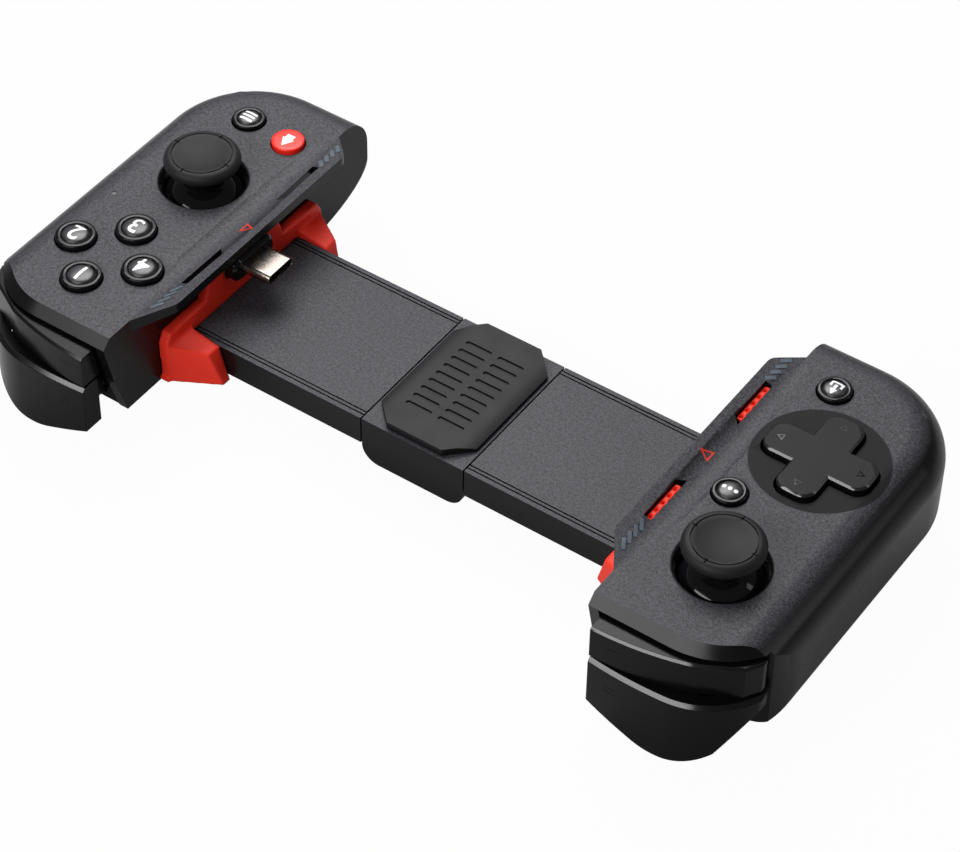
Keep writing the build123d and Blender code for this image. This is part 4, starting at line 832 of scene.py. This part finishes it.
class CONTROLLER_OT_buttons(ControllerStep):
    """Round buttons with their numbers and signs, the black ones a ring round a lens"""

    bl_idname = "controller.buttons"
    bl_label = "Buttons"

    flange = 0.8 * MM            # how far a button's foot stands out under the shell
    dome_share = 0.168           # height of a button's dome, of its radius
    band = 0.35 * MM             # upright wall under the dome
    lens_share = 0.64            # radius of the lens, of the button's
    sign_rise = 0.03 * MM
    sign_thickness = 0.05 * MM
    ring_and_lens = (
        (0, -0.5), (1.0, -0.5), (1.0, 0.02), (0.985, 0.16), (0.95, 0.29), (0.90, 0.37),
        (0.84, 0.40), (0.78, 0.37), (0.73, 0.28), (0.695, 0.14), (0.675, -0.02), (0.66, -0.06),
        (0.645, 0.0), (0.635, 0.20), (0.615, 0.36), (0.56, 0.52), (0.48, 0.66), (0.38, 0.79),
        (0.27, 0.89), (0.14, 0.955), (0, 0.975),
    )
    flat_top = (
        (0, -0.5), (1.0, -0.5), (1.0, 0.18), (0.985, 0.38), (0.95, 0.53), (0.90, 0.62),
        (0.82, 0.67), (0.60, 0.74), (0.30, 0.80), (0, 0.82),
    )

    def crown(self, node, finish, lens):
        """Keeps a button up to its rim and turns its top anew, with a lens where it has one."""
        piece = merged(node, f"{node}_finished")
        low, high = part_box(node)
        middle = (low + high) / 2
        radius = (high.x - low.x) / 2 - self.flange
        dome = radius * self.dome_share
        cut = high.z - dome - self.band
        edit(piece)
        bpy.ops.mesh.bisect(
            plane_co=(0, 0, cut), plane_no=(0, 0, 1), use_fill=True, clear_outer=True,
        )
        close()
        smooth(piece, 30)
        shape = self.flat_top if lens is None else self.ring_and_lens
        top = ring(
            f"{node}_crown", (middle.x, middle.y, cut),
            [(share * radius, rise * dome + self.band) for share, rise in shape],
        )
        for vertex in top.data.vertices:
            vertex.co.z = max(vertex.co.z, cut)
        piece.data.materials.append(finish_named(finish))
        top.data.materials.append(finish_named(finish))
        if lens:
            paint_faces(top, lens, lambda centre, normal: hypot(
                centre.x - middle.x, centre.y - middle.y,
            ) < self.lens_share * radius and normal.z > 0.2)
        piece = joined(f"{node}_finished", [piece, top])
        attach(piece, body_of(node))
        slot_of(node)
        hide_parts(node)
        self.caps[node] = piece

    def sign(self, node, pieces):
        """Lays a sign on a button."""
        piece = joined(f"{node}_sign", pieces)
        lay_on(piece, self.caps[node], "z", self.sign_rise, self.sign_thickness)
        dress(piece, body_of(node), "ink", "inner_white")

    def execute(self, context):
        self.caps = {}
        nodes = [f"action_button_{number}" for number in (1, 2, 3, 4)]
        for node in nodes + ["menu_button", "more_button", "share_button"]:
            self.crown(node, "gloss", "lens")
        self.crown("home_button", "red_gloss", None)
        height = settings().number_height
        for number, node in enumerate(nodes, start=1):
            centre = middle_of(node)
            above = (centre.x, centre.y, centre.z + ABOVE)
            self.sign(node, [text(node + "_number", str(number), height, above)])

        def at(node, x, y):
            centre = middle_of(node)
            return (centre.x + x * MM, centre.y + y * MM, centre.z + ABOVE)

        node = "menu_button"
        self.sign(node, [
            bar("line", at(node, 0, step), (3.0 * MM, 0.55 * MM), 0.12 * MM)
            for step in (-1.05, 0.0, 1.05)
        ])
        node = "more_button"
        self.sign(node, [disc("dot", at(node, step, 0), 0.44 * MM) for step in (-1.3, 0, 1.3)])
        node = "share_button"
        self.sign(node, [
            bar("tray_low", at(node, 0, -1.35), (2.8 * MM, 0.5 * MM), 0.05 * MM),
            bar("tray_left", at(node, -1.15, -0.8), (0.5 * MM, 1.4 * MM), 0.05 * MM),
            bar("tray_right", at(node, 1.15, -0.8), (0.5 * MM, 1.4 * MM), 0.05 * MM),
            bar("shaft", at(node, 0, 0.1), (0.6 * MM, 1.6 * MM), 0.05 * MM),
            disc("point", at(node, 0, 1.1), 0.9 * MM, 3, 0.0),
        ])
        node = "home_button"
        self.sign(node, [
            disc("roof", at(node, 0, 0.65), 1.65 * MM, 3, 0.0),
            bar("walls", at(node, 0, -0.8), (1.9 * MM, 1.3 * MM), 0.08 * MM),
        ])
        carry("action_membrane", "membrane")
        carry("led_light_pipe", "lens")
        return {"FINISHED"}


class CONTROLLER_OT_direction_pad(ControllerStep):
    """Direction pad with an arrow at each end"""

    bl_idname = "controller.direction_pad"
    bl_label = "Direction pad"

    arrow_reach = 8.7 * MM
    arrow_outer = 1.05 * MM
    arrow_inner = 0.55 * MM
    arrow_rise = 0.08 * MM

    def execute(self, context):
        node = "pad_cross"
        cross = finished_node(node, "pad", THIN_EDGE, flatness=0)
        centre = middle_of(node)
        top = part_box(node)[1].z
        for number, turn in enumerate((0, 90, 180, 270), start=1):
            angle = radians(turn)
            place = (
                centre.x + self.arrow_reach * cos(angle),
                centre.y + self.arrow_reach * sin(angle),
                top,
            )
            arrow = hollow_triangle(
                f"pad_arrow_{number}", place, self.arrow_outer, self.arrow_inner,
                angle - radians(90),
            )
            edit(arrow)
            bpy.ops.mesh.normals_make_consistent(inside=False)
            close()
            modify(arrow, "SOLIDIFY", thickness=self.arrow_rise, offset=0)
            dress(arrow, body_of(node), "gloss", slot_of(node))
        paint_faces(cross, "gloss", lambda centre, normal: abs(normal.z) < 0.3)
        carry("pad_rocker", "white")
        carry("pad_membrane", "membrane")
        return {"FINISHED"}


class CONTROLLER_OT_shoulder_keys(ControllerStep):
    """Bumpers and triggers with raised bars that tell them apart"""

    bl_idname = "controller.shoulder_keys"
    bl_label = "Bumpers and triggers"

    # Key, its bars, their depth below the face and the rounding of its edges
    keys = (("bumper", 1, 6.6 * MM, 0.25 * MM), ("trigger", 2, 16.2 * MM, 0.55 * MM))
    bar_place = 65.2 * MM
    bar_pitch = 1.1 * MM
    bar_size = (2.6 * MM, 0.5 * MM)
    bar_rounding = 0.22 * MM
    bar_start = 4 * MM
    bar_rise = -0.10 * MM
    bar_thickness = 0.14 * MM

    def execute(self, context):
        for side in SIDES:
            way = 1 if side == "right" else -1
            for key, count, depth, edge in self.keys:
                node = f"{side}_{key}"
                piece = finished_node(node, "key", edge, 3)
                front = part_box(node)[1].y
                bars = []
                for number in range(count):
                    mark = bar("mark", (0, 0, 0), self.bar_size, self.bar_rounding)
                    mark.rotation_euler = (radians(90), 0, 0)
                    mark.location = (
                        way * self.bar_place, front + self.bar_start,
                        face_height(side) - depth - self.bar_pitch * number,
                    )
                    settle(mark)
                    bars.append(mark)
                marks = joined(f"{side}_{key}_bars", bars)
                lay_on(marks, piece, "y", self.bar_rise, self.bar_thickness, 2)
                dress(marks, body_of(node), "key", slot_of(node))
            carry(f"{side}_trigger_pin", "steel")
            carry(f"{side}_trigger_spring", "steel")
        return {"FINISHED"}


class CONTROLLER_OT_lip_trim(ControllerStep):
    """Ribs and the phone mark on the lips"""

    bl_idname = "controller.lip_trim"
    bl_label = "Lip trim"

    ribs_in_a_row = 4
    # Rows of ribs: place across, first place along, step, size and lean in degrees
    rows = (
        (54.8 * MM, -26.5 * MM, -1.95 * MM, (2.3 * MM, 0.85 * MM), 43),
        (55.4 * MM, 20.7 * MM, 2.05 * MM, (2.7 * MM, 0.70 * MM), -30),
    )
    rib_rounding = 0.12 * MM
    rib_rise = 0.14 * MM
    rib_thickness = 0.22 * MM
    mark_place = (55.5 * MM, -2.2 * MM)
    mark_outer = 1.75 * MM
    mark_inner = 1.0 * MM
    mark_rise = 0.02 * MM
    mark_thickness = 0.05 * MM

    def execute(self, context):
        for side in SIDES:
            way = 1 if side == "right" else -1
            start = face_height(side) + ABOVE
            shell = bpy.data.objects[f"{side}_top_shell_finished"]
            ribs = []
            for number in range(self.ribs_in_a_row):
                for across, first, step, size, lean in self.rows:
                    ribs.append(bar(
                        "rib", (way * across, first + step * number, start), size,
                        self.rib_rounding, radians(90 + way * lean),
                    ))
            piece = joined(f"{side}_lip_ribs", ribs)
            lay_on(piece, shell, "z", self.rib_rise, self.rib_thickness)
            dress(piece, f"grip_{side}", "rib", slot_of(f"{side}_top_shell"))
            across, along = self.mark_place
            mark = hollow_triangle(
                f"{side}_phone_mark", (way * across, along, start),
                self.mark_outer, self.mark_inner, way * radians(90),
            )
            lay_on(mark, shell, "z", self.mark_rise, self.mark_thickness)
            dress(mark, f"grip_{side}", "paint", "red_rubber")
        return {"FINISHED"}


class CONTROLLER_OT_plug(ControllerStep):
    """Plug with its contacts"""

    bl_idname = "controller.plug"
    bl_label = "Plug"

    collar_edge = 0.35 * MM
    contact_count = 12
    contact_pitch = 0.5 * MM
    contact_size = (3.6 * MM, 0.25 * MM, 0.12 * MM)
    contact_middle = 2.4 * MM    # from the core's front
    contact_rise = 0.40 * MM     # from the middle of its mouth
    contact_edge = 0.02 * MM

    def execute(self, context):
        finished_node("plug_shell", "plug", FINE_EDGE)
        finished_node("plug_collar", "gloss", self.collar_edge, 3)
        carry("plug_core", "satin")
        low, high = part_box("plug_core")
        middle = (low + high) / 2
        contacts = []
        for row in (-1, 1):
            for number in range(self.contact_count):
                across = (number - (self.contact_count - 1) / 2) * self.contact_pitch
                fresh()
                bpy.ops.mesh.primitive_cube_add(size=1, location=(
                    low.x + self.contact_middle, middle.y + across,
                    middle.z + row * self.contact_rise,
                ))
                contact = bpy.context.object
                contact.scale = self.contact_size
                settle(contact)
                contacts.append(contact)
        piece = joined("plug_contacts", contacts)
        soften(piece, self.contact_edge, 1)
        dress(piece, "grip_right", "gold", "switch_metal")
        return {"FINISHED"}


class CONTROLLER_OT_screws(ControllerStep):
    """Screws with rounded edges"""

    bl_idname = "controller.screws"
    bl_label = "Screws"

    head_edge = 0.08 * MM

    def execute(self, context):
        for side in SIDES:
            finished_node(f"{side}_screws", "screw", self.head_edge)
        finished_node("centre_screws", "screw", self.head_edge)
        return {"FINISHED"}


class CONTROLLER_OT_boards(ControllerStep):
    """Boards and switches inside the grips"""

    bl_idname = "controller.boards"
    bl_label = "Boards"

    def execute(self, context):
        for side in SIDES:
            carry(f"{side}_circuit_board", "board")
            carry(f"{side}_switches", "steel")
        return {"FINISHED"}


class CONTROLLER_OT_stage(ControllerStep):
    """Floor, soft studio light and the camera"""

    bl_idname = "controller.stage"
    bl_label = "Stage"

    floor_size = 6.0
    floor_gap = 0.2 * MM
    floor_glow = 0.97            # the rest of the floor takes light and shadow
    floor_in_mirrors = 0.16
    world_in_mirrors = 0.15
    world_light = 0.04           # strength of the world as a light
    # Each lamp: name, place, what it is aimed at, size and watts
    lamps = (
        ("softbox_top", (0.22, -0.20, 0.52), (0.02, 0, 0), (0.42, 0.32), 4.0),
        ("softbox_mirror", (0.30, -0.46, 0.46), (0, 0, 0), (0.40, 0.22), 1.0),
        ("softbox_side", (-0.74, -0.46, 0.36), (-0.06, 0, 0.01), (0.16, 0.50), 0.6),
        ("softbox_back", (0.10, 0.66, 0.50), (0, 0, 0.01), (0.80, 0.20), 6.0),
    )
    camera_place = (-0.26196, 0.37732, 0.46896)
    camera_turn = (44.6854, -0.7880, -145.2419)
    camera_lens = 121.14
    camera_shift = (-0.0146, 0.0016)

    def floor(self):
        """Pale floor that keeps the shadow and shows white to the camera."""
        fresh()
        bpy.ops.mesh.primitive_plane_add(size=self.floor_size, location=(0, 0, -self.floor_gap))
        floor = bpy.context.object
        floor.name = "studio_floor"
        finish = Finish("studio_floor")
        matte = finish.node("ShaderNodeBsdfDiffuse", None, {"Color": (0.45, 0.45, 0.45)})
        glow = finish.node("ShaderNodeEmission", None, {"Color": (1, 1, 1), "Strength": 1.0})
        mixer = finish.node("ShaderNodeMixShader", None, {
            0: finish.seen(self.floor_in_mirrors) * self.floor_glow,
        })
        finish.tree.links.new(matte.outputs[0], mixer.inputs[1])
        finish.tree.links.new(glow.outputs[0], mixer.inputs[2])
        finish.tree.links.new(mixer.outputs[0], finish.output.inputs["Surface"])
        floor.data.materials.append(finish.material)

    def world(self):
        """White to the camera, dimmer as a light."""
        world = bpy.data.worlds.new("studio_world")
        bpy.context.scene.world = world
        world.use_nodes = True
        studio = Nodes(world.node_tree, "ShaderNodeOutputWorld")
        seen = studio.seen(self.world_in_mirrors)
        background = studio.node("ShaderNodeBackground", None, {
            "Color": (1, 1, 1),
            "Strength": seen * (1.0 - self.world_light) + self.world_light,
        })
        studio.tree.links.new(background.outputs[0], studio.output.inputs["Surface"])

    def light(self, name, place, aim, size, power):
        """Soft rectangular lamp aimed at a point."""
        fresh()
        bpy.ops.object.light_add(type="AREA", location=place)
        lamp = bpy.context.object
        lamp.name = name
        lamp.data.shape = "RECTANGLE"
        lamp.data.size, lamp.data.size_y = size
        lamp.data.energy = power
        lamp.rotation_euler = (Vector(aim) - Vector(place)).to_track_quat("-Z", "Y").to_euler()

    def camera(self):
        """Camera at the photograph's angle."""
        fresh()
        bpy.ops.object.camera_add(
            location=self.camera_place,
            rotation=[radians(turn) for turn in self.camera_turn],
        )
        camera = bpy.context.object
        camera.name = "studio_camera"
        camera.data.sensor_width = 36
        camera.data.lens = self.camera_lens
        camera.data.shift_x, camera.data.shift_y = self.camera_shift
        camera.data.clip_start = 0.01
        camera.data.clip_end = 20
        bpy.context.scene.camera = camera

    def execute(self, context):
        self.floor()
        self.world()
        for lamp in self.lamps:
            self.light(*lamp)
        self.camera()
        bpy.context.scene.view_settings.view_transform = "Standard"
        return {"FINISHED"}


class CONTROLLER_PT_panel(bpy.types.Panel):
    """Lists the controller's steps and settings"""

    bl_idname = "CONTROLLER_PT_panel"
    bl_label = "Controller"
    bl_space_type = "VIEW_3D"
    bl_region_type = "UI"
    bl_category = "Controller"

    def draw(self, context):
        own = context.scene.controller
        for name in ControllerSettings.__annotations__:
            self.layout.prop(own, name)
        for step in STEPS:
            self.layout.operator(step.bl_idname)


STEPS = (
    CONTROLLER_OT_shells,
    CONTROLLER_OT_bridge,
    CONTROLLER_OT_cradles,
    CONTROLLER_OT_sticks,
    CONTROLLER_OT_buttons,
    CONTROLLER_OT_direction_pad,
    CONTROLLER_OT_shoulder_keys,
    CONTROLLER_OT_lip_trim,
    CONTROLLER_OT_plug,
    CONTROLLER_OT_screws,
    CONTROLLER_OT_boards,
    CONTROLLER_OT_stage,
)


def register():
    """Registers the settings, the steps and the panel."""
    for kind in (ControllerSettings, *STEPS, CONTROLLER_PT_panel):
        bpy.utils.register_class(kind)
    bpy.types.Scene.controller = PointerProperty(type=ControllerSettings)


def unregister():
    """Removes them again."""
    del bpy.types.Scene.controller
    for kind in reversed((ControllerSettings, *STEPS, CONTROLLER_PT_panel)):
        bpy.utils.unregister_class(kind)


def main():
    """Runs every step."""
    register()
    for step in STEPS:
        group, name = step.bl_idname.split(".")
        getattr(getattr(bpy.ops, group), name)()


if __name__ == "__main__":
    main()
